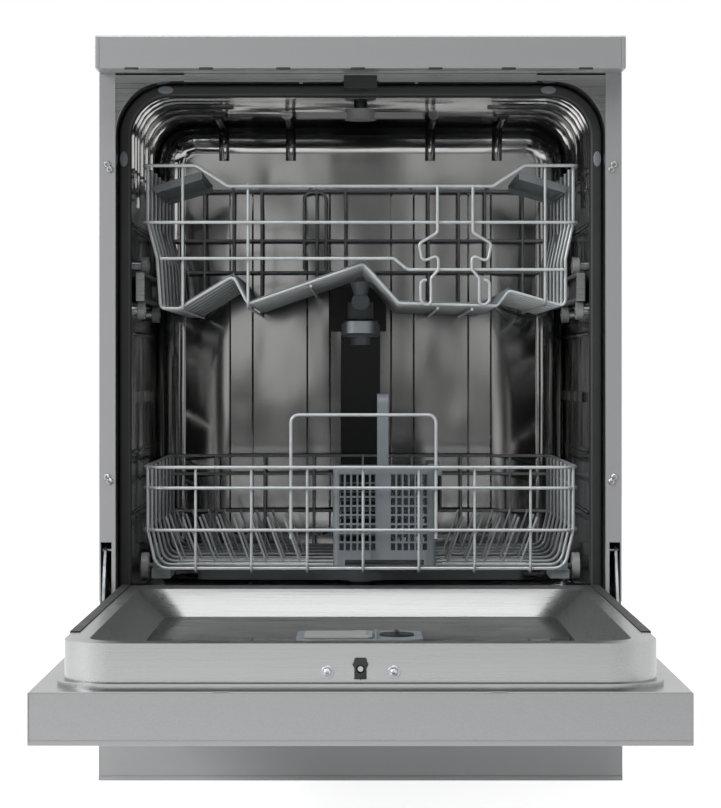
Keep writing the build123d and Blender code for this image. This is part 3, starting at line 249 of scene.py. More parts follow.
def bright_stainless():
    """Deep-drawn stainless with its mill finish: near-mirror, with slow waves left by the press."""
    colour = tuple(bpy.context.scene.dishwasher_colours.tub)
    material, tree, shader = new_surface("bright drawn stainless steel", colour, 1.0, 0.11)
    waves = pattern(tree, (9, 9, 4), detail=1.5)
    vary_roughness(tree, shader, waves, 0.07, 0.16)
    raise_bumps(tree, shader, waves, 0.006, 0.5)
    return material


def darkened_polished_stainless():
    """Stainless sheet with its bright rolled face: a clear mirror, its colour painted darker than real steel
    as a painted dark reflection of the tub over it.
    """
    # Painted shade: this grey is darker than the steel's own, so that the dish floor reads as a dark
    # reflection
    colour = linear("7c7c7b")
    material, tree, shader = new_surface("polished stainless steel", colour, 1.0, 0.05)
    waves = pattern(tree, (14, 10, 10), detail=1.5)
    vary_roughness(tree, shader, waves, 0.03, 0.08)
    raise_bumps(tree, shader, waves, 0.0008, 0.4)
    return material


def zinc_steel():
    """Zinc-plated steel: grey-white, dulled in patches by handling."""
    colour = linear("b4b7ba")
    material, tree, shader = new_surface("bright zinc plated steel", colour, 1.0, 0.34)
    patches = pattern(tree, (60, 60, 60), detail=3.0)
    tint(tree, shader, patches, shade(colour, 0.86), shade(colour, 1.05))
    vary_roughness(tree, shader, patches, 0.26, 0.44)
    return material


def silver_abs():
    """Moulded ABS sprayed silver to match the enamel: a little softer in its sheen."""
    colour = tuple(bpy.context.scene.dishwasher_colours.enamel)
    material, tree, shader = new_surface(
        "silver sprayed ABS", shade(colour, 0.97), 0.4, 0.4, Coat_Weight=0.15
    )
    flake = pattern(tree, (800, 800, 800), detail=1.0)
    tint(tree, shader, flake, shade(colour, 0.92), shade(colour, 1.0))
    return material


def grain_plastic(name, colour, roughness, depth=0.00005, **sockets):
    """A moulded plastic with the fine leather grain of a spark-eroded mould."""
    material, tree, shader = new_surface(name, colour, 0.0, roughness, **sockets)
    grain = pattern(tree, (1100, 1100, 1100), detail=2.0)
    cloud = pattern(tree, (24, 24, 24), detail=2.0)
    tint(tree, shader, cloud, shade(colour, 0.93), shade(colour, 1.06))
    vary_roughness(tree, shader, grain, roughness - 0.06, roughness + 0.08)
    raise_bumps(tree, shader, grain, depth, 0.5)
    return material


def grey_polypropylene():
    """Moulded polypropylene, which looks a little waxy and holds no sharp highlight."""
    colour = tuple(bpy.context.scene.dishwasher_colours.moulding)
    return grain_plastic("grey polypropylene", colour, 0.46, IOR=1.49)


def pale_acetal():
    """Moulded acetal: pale, dense and slightly slick, as wheels that run on steel are."""
    return grain_plastic("pale grey acetal", linear("8f9090"), 0.38, IOR=1.48)


def black_nylon():
    """Moulded nylon with glass fibre: near-black, its gloss broken by the fibres."""
    return grain_plastic("black glass-filled nylon", linear("1a1b1d"), 0.5, IOR=1.53)


def coated_wire():
    """Steel wire dipped in grey nylon: smooth, a little waxy, thicker in slow beads along its length."""
    colour = tuple(bpy.context.scene.dishwasher_colours.wire)
    material, tree, shader = new_surface(
        "grey nylon coated wire", colour, 0.25, 0.34, Coat_Weight=0.35, Coat_Roughness=0.25
    )
    beads = pattern(tree, (90, 90, 90), detail=1.5)
    tint(tree, shader, beads, shade(colour, 0.92), shade(colour, 1.05))
    raise_bumps(tree, shader, beads, 0.0002, 0.4)
    return material


def black_rubber():
    """Extruded EPDM: matt black with faint lengthwise bloom."""
    colour = linear("1d1e1f")
    material, tree, shader = new_surface("black EPDM rubber", colour, 0.0, 0.55, IOR=1.52)
    bloom = pattern(tree, (30, 30, 30), detail=3.0)
    tint(tree, shader, bloom, shade(colour, 0.75), shade(colour, 1.25))
    vary_roughness(tree, shader, bloom, 0.48, 0.62)
    return material


def filter_gauze():
    """Woven stainless gauze, drawn with holes 2 mm apart so that they show; the holes are painted shade, dark
    spots for the gloom seen through them.
    """
    colour = linear("8d8f90")
    material, tree, shader = new_surface("stainless filter gauze", colour, 1.0, 0.35)
    place = add_node(tree, "ShaderNodeTexCoord")
    painted_hole_shade = add_node(tree, "ShaderNodeTexVoronoi", inputs={"Vector": place.outputs["Object"], "Scale": 500.0})
    # Painted shade: the dark spots stand in for the shade seen through the gauze's holes
    tint(tree, shader, painted_hole_shade.outputs["Distance"], shade(colour, 0.15), shade(colour, 1.0))
    return material


# One finish for each slot of the record, and one more, painted darker than real steel as a painted dark
# reflection, for the polished floor of the door's dish
FINISHES = {
    "painted_steel": silver_enamel,
    "stainless": brushed_stainless,
    "bright_stainless": bright_stainless,
    "dish_floor": darkened_polished_stainless,
    "zinc_steel": zinc_steel,
    "silver_plastic": silver_abs,
    "grey_plastic": grey_polypropylene,
    "light_plastic": pale_acetal,
    "dark_plastic": black_nylon,
    "coated_wire": coated_wire,
    "black_rubber": black_rubber,
    "filter_steel": filter_gauze,
}
SLOT_OF = {entry["node"]: entry["material_slot"] for entry in frame["record"]["subparts"]}
BODIES = frame["record"]["behaviour"]["bodies"]
BODY_OF = {node: body for body, members in BODIES.items() for node in members}
made_finishes = {}


def finish(slot):
    """The material of one of the record's slots, made once."""
    if slot not in made_finishes:
        made_finishes[slot] = FINISHES[slot]()
    return made_finishes[slot]


# Making pieces


def place(piece, body, slot, *replaced):
    """Gives a finished piece the finish of its slot if it has none, puts it on its body, and hides the frame
    nodes it stands for.
    """
    if not piece.data.materials:
        piece.data.materials.append(finish(slot))
    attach(piece, body)
    if replaced:
        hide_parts(*replaced)
    return piece


def stand_in(node, piece):
    """Places a piece that takes one frame node's finish, body and place."""
    return place(piece, BODY_OF[node], SLOT_OF[node], node)


def new_object(name, mesh):
    piece = bpy.data.objects.new(name, mesh)
    bpy.context.scene.collection.objects.link(piece)
    return piece


def as_object(name, shape, smooth_angle):
    """An object from a bmesh that shades smoothly, with edges sharper than the angle kept crisp."""
    limit = math.radians(smooth_angle)
    for face in shape.faces:
        face.smooth = True
    for edge in shape.edges:
        edge.smooth = not edge.is_manifold or edge.calc_face_angle(0.0) < limit
    mesh = bpy.data.meshes.new(name)
    shape.to_mesh(mesh)
    shape.free()
    return new_object(name, mesh)


MERGE_BUILT = 0.01 * MM
MERGE_COPIED = 0.02 * MM
SHARP_EDGE = math.radians(50)
FLAT_EDGE = math.radians(1)


def from_bmesh(name, shape, smooth_angle=30.0):
    """An object from a bmesh built here, merged and turned outwards."""
    bmesh.ops.remove_doubles(shape, verts=shape.verts, dist=MERGE_BUILT)
    bmesh.ops.recalc_face_normals(shape, faces=shape.faces)
    return as_object(name, shape, smooth_angle)


def copied(node, name, finish_shape, smooth_angle=32.0):
    """A merged copy of a frame node, changed by a function on its bmesh."""
    shape = bmesh.new()
    shape.from_mesh(NODES[node].data)
    bmesh.ops.remove_doubles(shape, verts=shape.verts, dist=MERGE_COPIED)
    finish_shape(shape)
    return as_object(name, shape, smooth_angle)


def smooth_copy(node):
    """A copy of a frame node that shades smoothly over its curves."""
    return copied(node, node + "_skin", lambda shape: None)


def is_sharp(edge):
    return edge.is_manifold and edge.calc_face_angle(0.0) > SHARP_EDGE


def round_off(shape, edges, width):
    """Bevels edges of a bmesh; width in millimetres."""
    bmesh.ops.bevel(
        shape, geom=edges, offset=width * MM, segments=2, profile=0.6, affect="EDGES", clamp_overlap=True
    )


def bevelled_copy(node, width):
    """A copy of a frame node with its sharp edges rounded; width in millimetres."""

    def bevel(shape):
        bmesh.ops.dissolve_limit(shape, angle_limit=FLAT_EDGE, verts=shape.verts, edges=shape.edges)
        round_off(shape, [edge for edge in shape.edges if is_sharp(edge)], width)

    piece = copied(node, node + "_skin", bevel)
    flatten = piece.modifiers.new("Flat faces", "WEIGHTED_NORMAL")
    flatten.keep_sharp = True
    return piece


def repaint(piece, slot, wanted):
    """Gives the faces that a test picks a second finish."""
    piece.data.materials.append(finish(slot))
    for face in piece.data.polygons:
        if wanted(face):
            face.material_index = len(piece.data.materials) - 1


def add_box(shape, low, high, bevel=0.0):
    """Adds a box between two points in millimetres to a bmesh, with bevelled edges if asked."""
    low, high = Vector(low), Vector(high)
    matrix = Matrix.Translation((low + high) / 2 * MM) @ Matrix.Diagonal((*((high - low) * MM), 1.0))
    made = bmesh.ops.create_cube(shape, size=1.0, matrix=matrix)
    if bevel:
        round_off(shape, list({edge for vert in made["verts"] for edge in vert.link_edges}), bevel)


# Turns that lay a profile made round Z along each axis
TURNS = {
    "X": Matrix.Rotation(math.radians(90), 3, "Y"),
    "Y": Matrix.Rotation(math.radians(-90), 3, "X"),
    "Z": Matrix.Identity(3),
}


def add_turned(shape, profile, centre, axis="Z", segments=40):
    """Adds a turned solid from (radius, height) pairs in millimetres, taken from one end to the other."""
    turn = TURNS[axis]
    rings = []
    for radius, height in profile:
        if radius < 0.001:
            rings.append([shape.verts.new((turn @ Vector((0, 0, height)) + Vector(centre)) * MM)])
            continue
        ring = []
        for index in range(segments):
            angle = 2 * math.pi * index / segments
            point = Vector((radius * math.cos(angle), radius * math.sin(angle), height))
            ring.append(shape.verts.new((turn @ point + Vector(centre)) * MM))
        rings.append(ring)
    for lower, upper in zip(rings, rings[1:]):
        for index in range(segments):
            after = (index + 1) % segments
            steps = ((lower, index), (lower, after), (upper, after), (upper, index))
            corners = [ring[step % len(ring)] for ring, step in steps]
            unique = list(dict.fromkeys(corners))
            if len(unique) > 2:
                shape.faces.new(unique)


def add_prism(shape, outline, front, back):
    """Adds a solid from an outline of (x, z) pairs between two depths, in millimetres."""
    ends = [[shape.verts.new(mm(x, y, z)) for x, z in outline] for y in (front, back)]
    shape.faces.new(ends[0])
    shape.faces.new(list(reversed(ends[1])))
    for index in range(len(outline)):
        after = (index + 1) % len(outline)
        shape.faces.new((ends[0][after], ends[0][index], ends[1][index], ends[1][after]))


def polyline_mesh(name, lines):
    """A mesh of edges only, from lists of points in millimetres; a closed line ends where it starts."""
    verts, edges = [], []
    for line in lines:
        closed = line[0] == line[-1]
        points = line[:-1] if closed else line
        first = len(verts)
        verts += [Vector(point) * MM for point in points]
        edges += [(first + i, first + i + 1) for i in range(len(points) - 1)]
        if closed:
            edges.append((len(verts) - 1, first))
    mesh = bpy.data.meshes.new(name)
    mesh.from_pydata(verts, edges, [])
    return mesh


# Geometry node trees


def new_tree(name, inputs):
    """An empty geometry tree with named inputs; gives the tree and its input node."""
    tree = bpy.data.node_groups.new(name, "GeometryNodeTree")
    tree.interface.new_socket("Geometry", in_out="INPUT", socket_type="NodeSocketGeometry")
    for label, kind, value in inputs:
        socket = tree.interface.new_socket(label, in_out="INPUT", socket_type=kind)
        if value is not None:
            socket.default_value = value
    tree.interface.new_socket("Geometry", in_out="OUTPUT", socket_type="NodeSocketGeometry")
    return tree, add_node(tree, "NodeGroupInput")


def close_tree(tree, geometry, finish_socket):
    """Ends a tree with Realize Instances and Set Material."""
    real = add_node(tree, "GeometryNodeRealizeInstances", inputs={"Geometry": geometry})
    painted = add_node(
        tree,
        "GeometryNodeSetMaterial",
        inputs={"Geometry": real.outputs["Geometry"], "Material": finish_socket},
    )
    add_node(tree, "NodeGroupOutput", inputs={"Geometry": painted.outputs["Geometry"]})
    return tree


def round_rod(tree, given, path, sides):
    """A round rod of the tree's diameter along the curve that a node gives."""
    half = add_node(tree, "ShaderNodeMath", {"operation": "MULTIPLY"}, {0: given.outputs["Diameter"], 1: 0.5})
    radius = half.outputs["Value"]
    ring = add_node(tree, "GeometryNodeCurvePrimitiveCircle", inputs={"Resolution": sides, "Radius": radius})
    rod = add_node(
        tree,
        "GeometryNodeCurveToMesh",
        inputs={"Curve": path.outputs["Curve"], "Profile Curve": ring.outputs["Curve"], "Fill Caps": True},
    )
    return rod.outputs["Mesh"]


def wire_tree():
    """Repeats polylines in a row and makes them bent round wire."""
    tree, given = new_tree(
        "Bent wire",
        (
            ("Count", "NodeSocketInt", 1),
            ("Step", "NodeSocketVector", (0.0, 0.0, 0.0)),
            ("Diameter", "NodeSocketFloat", 0.004),
            ("Bend", "NodeSocketFloat", 0.009),
            ("Sides", "NodeSocketInt", 10),
            ("Finish", "NodeSocketMaterial", None),
        ),
    )
    line = add_node(
        tree,
        "GeometryNodeMeshLine",
        {"mode": "OFFSET"},
        {"Count": given.outputs["Count"], "Offset": given.outputs["Step"]},
    )
    copies = add_node(
        tree,
        "GeometryNodeInstanceOnPoints",
        inputs={"Points": line.outputs["Mesh"], "Instance": given.outputs["Geometry"]},
    )
    real = add_node(tree, "GeometryNodeRealizeInstances", inputs={"Geometry": copies.outputs["Instances"]})
    curve = add_node(tree, "GeometryNodeMeshToCurve", inputs={"Mesh": real.outputs["Geometry"]})
    bent = add_node(
        tree,
        "GeometryNodeFilletCurve",
        {"mode": "POLY"},
        {"Curve": curve.outputs["Curve"], "Count": 5, "Radius": given.outputs["Bend"], "Limit Radius": True},
    )
    return close_tree(tree, round_rod(tree, given, bent, given.outputs["Sides"]), given.outputs["Finish"])


def spring_tree():
    """A coil spring along Z from a spiral."""
    tree, given = new_tree(
        "Coil spring",
        (
            ("Turns", "NodeSocketFloat", 30.0),
            ("Radius", "NodeSocketFloat", 0.006),
            ("Length", "NodeSocketFloat", 0.2),
            ("Diameter", "NodeSocketFloat", 0.002),
            ("Finish", "NodeSocketMaterial", None),
        ),
    )
    coil = add_node(
        tree,
        "GeometryNodeCurveSpiral",
        inputs={
            "Resolution": 14,
            "Rotations": given.outputs["Turns"],
            "Start Radius": given.outputs["Radius"],
            "End Radius": given.outputs["Radius"],
            "Height": given.outputs["Length"],
        },
    )
    return close_tree(tree, round_rod(tree, given, coil, 6), given.outputs["Finish"])


TREES = {"wire": wire_tree, "spring": spring_tree}
made_trees = {}


def grown(name, tree_name, base, slot, **values):
    """Runs a tree on a mesh and gives the result as bmesh data, ready to join others."""
    if tree_name not in made_trees:
        made_trees[tree_name] = TREES[tree_name]()
    tree = made_trees[tree_name]
    holder = new_object(name, base)
    modifier = holder.modifiers.new("Build", "NODES")
    modifier.node_group = tree
    values["Finish"] = finish(slot)
    for item in tree.interface.items_tree:
        if item.in_out == "INPUT" and item.name.replace(" ", "_") in values:
            modifier[item.identifier] = values[item.name.replace(" ", "_")]
    depsgraph = bpy.context.evaluated_depsgraph_get()
    mesh = bpy.data.meshes.new_from_object(holder.evaluated_get(depsgraph))
    holder.modifiers.remove(modifier)
    bpy.data.objects.remove(holder)
    return mesh


def joined(name, meshes, smooth_angle=40.0):
    """One object from several meshes, with its normals outwards."""
    shape = bmesh.new()
    for mesh in meshes:
        shape.from_mesh(mesh)
    bmesh.ops.recalc_face_normals(shape, faces=shape.faces)
    return as_object(name, shape, smooth_angle)


def wires(name, lines, slot="coated_wire", diameter=None, bend=None, count=1, step=(0, 0, 0), sides=None):
    """Bent wires along polylines given in millimetres, repeated in a row."""
    sizes = bpy.context.scene.dishwasher_wires
    return grown(
        name,
        "wire",
        polyline_mesh(name, lines),
        slot,
        Count=count,
        Step=Vector(step) * MM,
        Diameter=diameter or sizes.rim,
        Bend=bend or sizes.bend,
        Sides=sides or sizes.sides,
    )


# Racks: sizes that follow the frame, in millimetres
RACK_HALF = span("lower_basket")[1].x - 2.0
RACK_FRONT = 49.0
RACK_BACK = 489.0
LONG_INSET = 3.9
# Middle to middle of two wires welded across each other
WELD_STEP = 4.1
RIB_FRONT = RACK_FRONT + 2 * LONG_INSET
RIB_COUNT = 8
RIB_STEP = (RACK_BACK - RACK_FRONT - 4 * LONG_INSET) / (RIB_COUNT - 1)
NUB = 3.0
UNDER_FLOOR = 4.5
UPPER_RIM = 706.0
UPPER_DIP = 682.0
UPPER_MIDDLE = 640.0
UPPER_LOW = 598.0
# The upper rack's folded floor as (x, z) pairs, from left to right
FLOOR_LINE = (
    (-233, 540), (-211, 540), (-148, 578), (-131, 545), (3.5, 592),
    (45, 546), (159, 543), (173, 561), (239, 542),
)
LOWER_RIM = 355.0
LOWER_MIDDLE = 331.0
LOWER_LOW = 282.0
LOWER_FLOOR = 237.1


def loop(half, front, back, z):
    """A closed level rectangle."""
    return [(-half, front, z), (half, front, z), (half, back, z), (-half, back, z), (-half, front, z)]


def ribs(profile, bend):
    """A rack's ribs along its depth, from one profile of (x, z) pairs."""
    line = [(x, RIB_FRONT, z) for x, z in profile]
    return wires("ribs", [line], count=RIB_COUNT, step=(0, RIB_STEP, 0), bend=bend)


def floor_height(x):
    """Height of the upper rack's floor at one place across it."""
    for (x0, z0), (x1, z1) in zip(FLOOR_LINE, FLOOR_LINE[1:]):
        if x0 <= x <= x1:
            return z0 + (z1 - z0) * (x - x0) / (x1 - x0)
    return FLOOR_LINE[0][1]


class DISHWASHER_OT_upper_rack(bpy.types.Operator):
    """Makes the upper rack's wires, its fine floor net and the two bottle clips at its front"""

    bl_idname = "dishwasher.upper_rack"
    bl_label = "Upper rack"

    dip_half = (154.0, 191.0)
    long_sites = (-207.0, -131.0, -58.0, 215.0)
    no_front_upright = -58.0
    rear_sites = (-168.0, -20.0, 165.0)
    # The hoop at the rear: its left and right x, foot and head
    rear_hoop = (-75.0, -46.0, 602.0, 704.0)
    # The step in the low front wire: its left and right x, and the height it goes on at
    low_step = (39.0, 55.0, 585.0)
    low_ends = (-233.0, 236.0)
    rib_bend = 6.0
    rib_insets = (11.0, 9.0)
    # One side of the pair of bottle clips, as (x from their middle, z) pairs
    clip_path = (
        (20.5, 682), (20.5, 628), (42, 615), (38, 594), (24, 600), (19.5, 599), (19.5, 585),
        (28, 575), (28, 546), (34, 543), (40, 549), (40, 572), (33, 573),
    )
    clip_middle = 110.0
    clip_wire, clip_bend, clip_seat = 3.6, 5.0, 3.4
    clip_long_half, clip_long_start = 20.0, 8.0
    net_lift = 2.6
    net_margin = 7
    net_bend, net_sides = 3.0, 4

    def execute(self, context):
        sizes = context.scene.dishwasher_wires
        half, front, back = RACK_HALF, RACK_FRONT, RACK_BACK
        dip, shoulder = self.dip_half
        front_rim = ((-half, UPPER_RIM), (-shoulder, UPPER_RIM), (-dip, UPPER_DIP))
        front_rim += tuple((-x, z) for x, z in reversed(front_rim))
        rim = [(x, front, z) for x, z in front_rim]
        rim += [(half, back, UPPER_RIM), (-half, back, UPPER_RIM), (-half, front, UPPER_RIM)]
        left, right = self.low_ends
        step_left, step_right, step_z = self.low_step
        low_front = [
            (left, front, UPPER_LOW), (step_left, front, UPPER_LOW), (step_right, front, step_z),
            (right, front, step_z),
        ]
        low_back = [(left, back, UPPER_LOW), (right, back, UPPER_LOW)]
        parts = [wires("rims", [rim, loop(half, front, back, UPPER_MIDDLE), low_front, low_back])]
        rib_half = half - WELD_STEP
        inset_left, inset_right = self.rib_insets
        rib = [(-rib_half, UPPER_RIM), (-rib_half, UPPER_MIDDLE), (-rib_half + inset_left, UPPER_LOW)]
        rib += [*FLOOR_LINE, (rib_half - inset_right, UPPER_LOW)]
        rib += [(rib_half, UPPER_MIDDLE), (rib_half, UPPER_RIM)]
        parts.append(ribs(rib, self.rib_bend * MM))
        long_front, long_back = front + LONG_INSET, back - LONG_INSET
        uprights = []
        for x in self.long_sites:
            low = floor_height(x) - UNDER_FLOOR
            head = UPPER_RIM if abs(x) > shoulder else UPPER_DIP
            run = [(x, long_front, low), (x, long_back, low), (x, long_back, UPPER_RIM + NUB)]
            if x != self.no_front_upright:
                run.insert(0, (x, long_front, head + NUB))
            uprights.append(run)
        for x in self.rear_sites:
            uprights.append([(x, long_back, UPPER_LOW - NUB), (x, long_back, UPPER_RIM + NUB)])
        near, far, foot, head = self.rear_hoop
        hoop = ((near, foot), (near, head), (far, head), (far, foot))
        uprights.append([(x, long_back, z) for x, z in hoop])
        parts.append(wires("uprights", uprights, diameter=sizes.long))
        parts.append(self.clips(front, long_back))
        place(joined("upper_rack_wires", parts), "upper_rack", "coated_wire", "upper_basket")
        # The net takes the darker grey moulding's finish, partly as the grey of its plastic and partly as
        # painted shade over the rack's floor
        place(joined("upper_rack_net", self.net(sizes)), "upper_rack", "grey_plastic")
        return {"FINISHED"}

    def clips(self, front, long_back):
        """Two mirrored front wires with a waist and a hooked foot, and the long wires behind them."""
        lines = []
        face, start = front - self.clip_seat, front + self.clip_long_start
        for side in (-1, 1):
            lines.append([(self.clip_middle + side * x, face, z) for x, z in self.clip_path])
            x = self.clip_middle + side * self.clip_long_half
            low = floor_height(x) - UNDER_FLOOR
            lines.append([(x, start, low), (x, long_back, low), (x, long_back, UPPER_RIM)])
        return wires("clips", lines, diameter=self.clip_wire * MM, bend=self.clip_bend * MM)

    def net(self, sizes):
        """The fine net on the floor's slopes, drawn a little coarser than the real one so that it shows."""
        pitch = sizes.net_pitch / MM
        line = [(x, z + self.net_lift) for x, z in FLOOR_LINE[1:-1]]
        near, far = RACK_FRONT + self.net_margin, RACK_BACK - self.net_margin
        across = wires(
            "net_across",
            [[(x, near, z) for x, z in line]],
            slot="grey_plastic",
            diameter=sizes.net,
            bend=self.net_bend * MM,
            count=int((far - near) / pitch),
            step=(0, pitch, 0),
            sides=self.net_sides,
        )
        along = []
        for (x0, z0), (x1, z1) in zip(line, line[1:]):
            steps = max(1, int(math.hypot(x1 - x0, z1 - z0) / pitch))
            for index in range(steps):
                x = x0 + (x1 - x0) * index / steps
                z = z0 + (z1 - z0) * index / steps
                along.append([(x, near, z), (x, far, z)])
        lengthways = wires(
            "net_along", along, slot="grey_plastic", diameter=sizes.net, sides=self.net_sides
        )
        return [across, lengthways]


class DISHWASHER_OT_lower_rack(bpy.types.Operator):
    """Makes the lower rack's wires, its arch and its fixed and folding tines"""

    bl_idname = "dishwasher.lower_rack"
    bl_label = "Lower rack"

    # Each row's first tine, pitch, count and side to lean to
    left_row = (-214.0, 20.3, 8, -1)
    right_row = (104.0, 22.0, 5, 1)
    # The arch at the front: its left and right x, and its foot and head
    arch_half = (-81.0, 88.0)
    arch_span = (272.0, 416.0)
    rim_bend, rib_bend, rib_foot = 22.0, 16.0, 10.0
    long_first, long_pitch, long_count = -192.0, 65.0, 7
    long_drop = 3.8
    long_nub = 1.0
    carrier_end = 6.0
    tine_lean = 20.0
    tine_top = 1.0
    fixed_depths = (150.0, 215.0)
    folding_depth = 330.0

    def execute(self, context):
        sizes = context.scene.dishwasher_wires
        half, front, back = RACK_HALF, RACK_FRONT, RACK_BACK
        rims = [loop(half, front, back, z) for z in (LOWER_RIM, LOWER_MIDDLE, LOWER_LOW)]
        parts = [wires("rims", rims, bend=self.rim_bend * MM)]
        rib_half = half - WELD_STEP
        foot = self.rib_foot - rib_half
        rib = [(-rib_half, LOWER_RIM), (-rib_half, LOWER_LOW), (foot, LOWER_FLOOR)]
        rib += [(-x, z) for x, z in reversed(rib)]
        parts.append(ribs(rib, self.rib_bend * MM))
        long_z = LOWER_FLOOR - self.long_drop
        near, far, head = front + LONG_INSET, back - LONG_INSET, LOWER_RIM + self.long_nub
        x = self.long_first
        upright = [(x, near, head), (x, near, long_z), (x, far, long_z), (x, far, head)]
        step = (self.long_pitch, 0, 0)
        parts.append(
            wires("uprights", [upright], diameter=sizes.long, count=self.long_count, step=step)
        )
        arch_y = front + WELD_STEP
        left, right = self.arch_half
        foot, head = self.arch_span
        arch = [(left, arch_y, foot), (left, arch_y, head), (right, arch_y, head), (right, arch_y, foot)]
        parts.append(wires("arch", [arch]))
        for depth in self.fixed_depths:
            parts += self.tines(sizes, depth, *self.left_row) + self.tines(sizes, depth, *self.right_row)
        place(joined("lower_rack_wires", parts), "lower_rack", "coated_wire", "lower_basket")
        for node, row in (("tines_left", self.left_row), ("tines_right", self.right_row)):
            made = self.tines(sizes, self.folding_depth, *row)
            place(joined(node + "_wires", made), node, "coated_wire", node)
        return {"FINISHED"}

    def tines(self, sizes, depth, start, pitch, count, lean):
        """A carrier wire across the rack with tines that stand up from it and lean to one side."""
        low, high = span("tines_left")
        z = low.z + sizes.tine / MM / 2
        end = start + pitch * (count - 1)
        carrier = [(start - self.carrier_end, depth, z), (end + self.carrier_end, depth, z)]
        tine = [(start, depth, z), (start + lean * self.tine_lean, depth, high.z - self.tine_top)]
        carrier = wires("carrier", [carrier], diameter=sizes.tine)
        row = wires("tines", [tine], diameter=sizes.tine, count=count, step=(pitch, 0, 0))
        return [carrier, row]


class DISHWASHER_OT_finishes(bpy.types.Operator):
    """Gives every frame node that stays its own finish"""

    bl_idname = "dishwasher.finishes"
    bl_label = "Finishes"

    def execute(self, context):
        for name, node in NODES.items():
            node.data.materials.clear()
            node.data.materials.append(finish(SLOT_OF[name]))
        return {"FINISHED"}


# Height of the open door's dish, in millimetres
DISH_FLOOR = 192.0


class DISHWASHER_OT_casing(bpy.types.Operator):
    """Makes the smooth and bevelled skins of the casing, linings and mouldings"""

    bl_idname = "dishwasher.casing"
    bl_label = "Casing and linings"

    smooth = (
        "door_gasket", "sump", "wash_pump", "drain_pump", "latch_bolt", "mid_feed_tube", "mid_spray_arm",
        "lower_spray_arm", "top_sprayer", "filter_cup", "float_dome", "foot_left", "foot_right",
        "power_button", "program_button", "start_button", "rinse_cap", "feed_pipe",
    )
    # The width in millimetres that each piece's sharp edges are rounded by
    bevels = {
        "worktop": 0.6, "worktop_end_caps": 1.2, "side_panel_left": 0.3, "side_panel_right": 0.3,
        "door_skin": 0.3, "control_fascia": 0.6, "plinth": 0.3, "dispenser": 0.6, "detergent_lid": 0.4,
        "door_latch": 0.4, "door_strike": 0.5, "cutlery_basket": 0.35, "cutlery_lid": 0.4,
        "slide_rails": 0.3, "top_cross_rail": 0.2, "upper_wheel_carriers": 0.8, "lower_wheel_clips": 0.8,
        "base_tray": 0.8, "rear_panel": 0.2, "hinge_brackets": 0.4, "hinge_arms": 0.4, "inlet_valve": 0.6,
        "liner_seals": 0.3,
    }

    def execute(self, context):
        for node in self.smooth:
            stand_in(node, smooth_copy(node))
        for node, width in self.bevels.items():
            stand_in(node, bevelled_copy(node, width))
        repaint(stand_in("tub", smooth_copy("tub")), "stainless", self.on_front_plate)
        repaint(stand_in("door_liner", smooth_copy("door_liner")), "dish_floor", self.on_dish_floor)
        return {"FINISHED"}

    def on_front_plate(self, face):
        """The tub's face plate looks forward from the plane of the cabinet's front."""
        return face.center.y < 3 * MM and face.normal.y < -0.9

    def on_dish_floor(self, face):
        """The dish's floor is the level face at its height."""
        return abs(face.center.z - DISH_FLOOR * MM) < 1 * MM and face.normal.z > 0.9


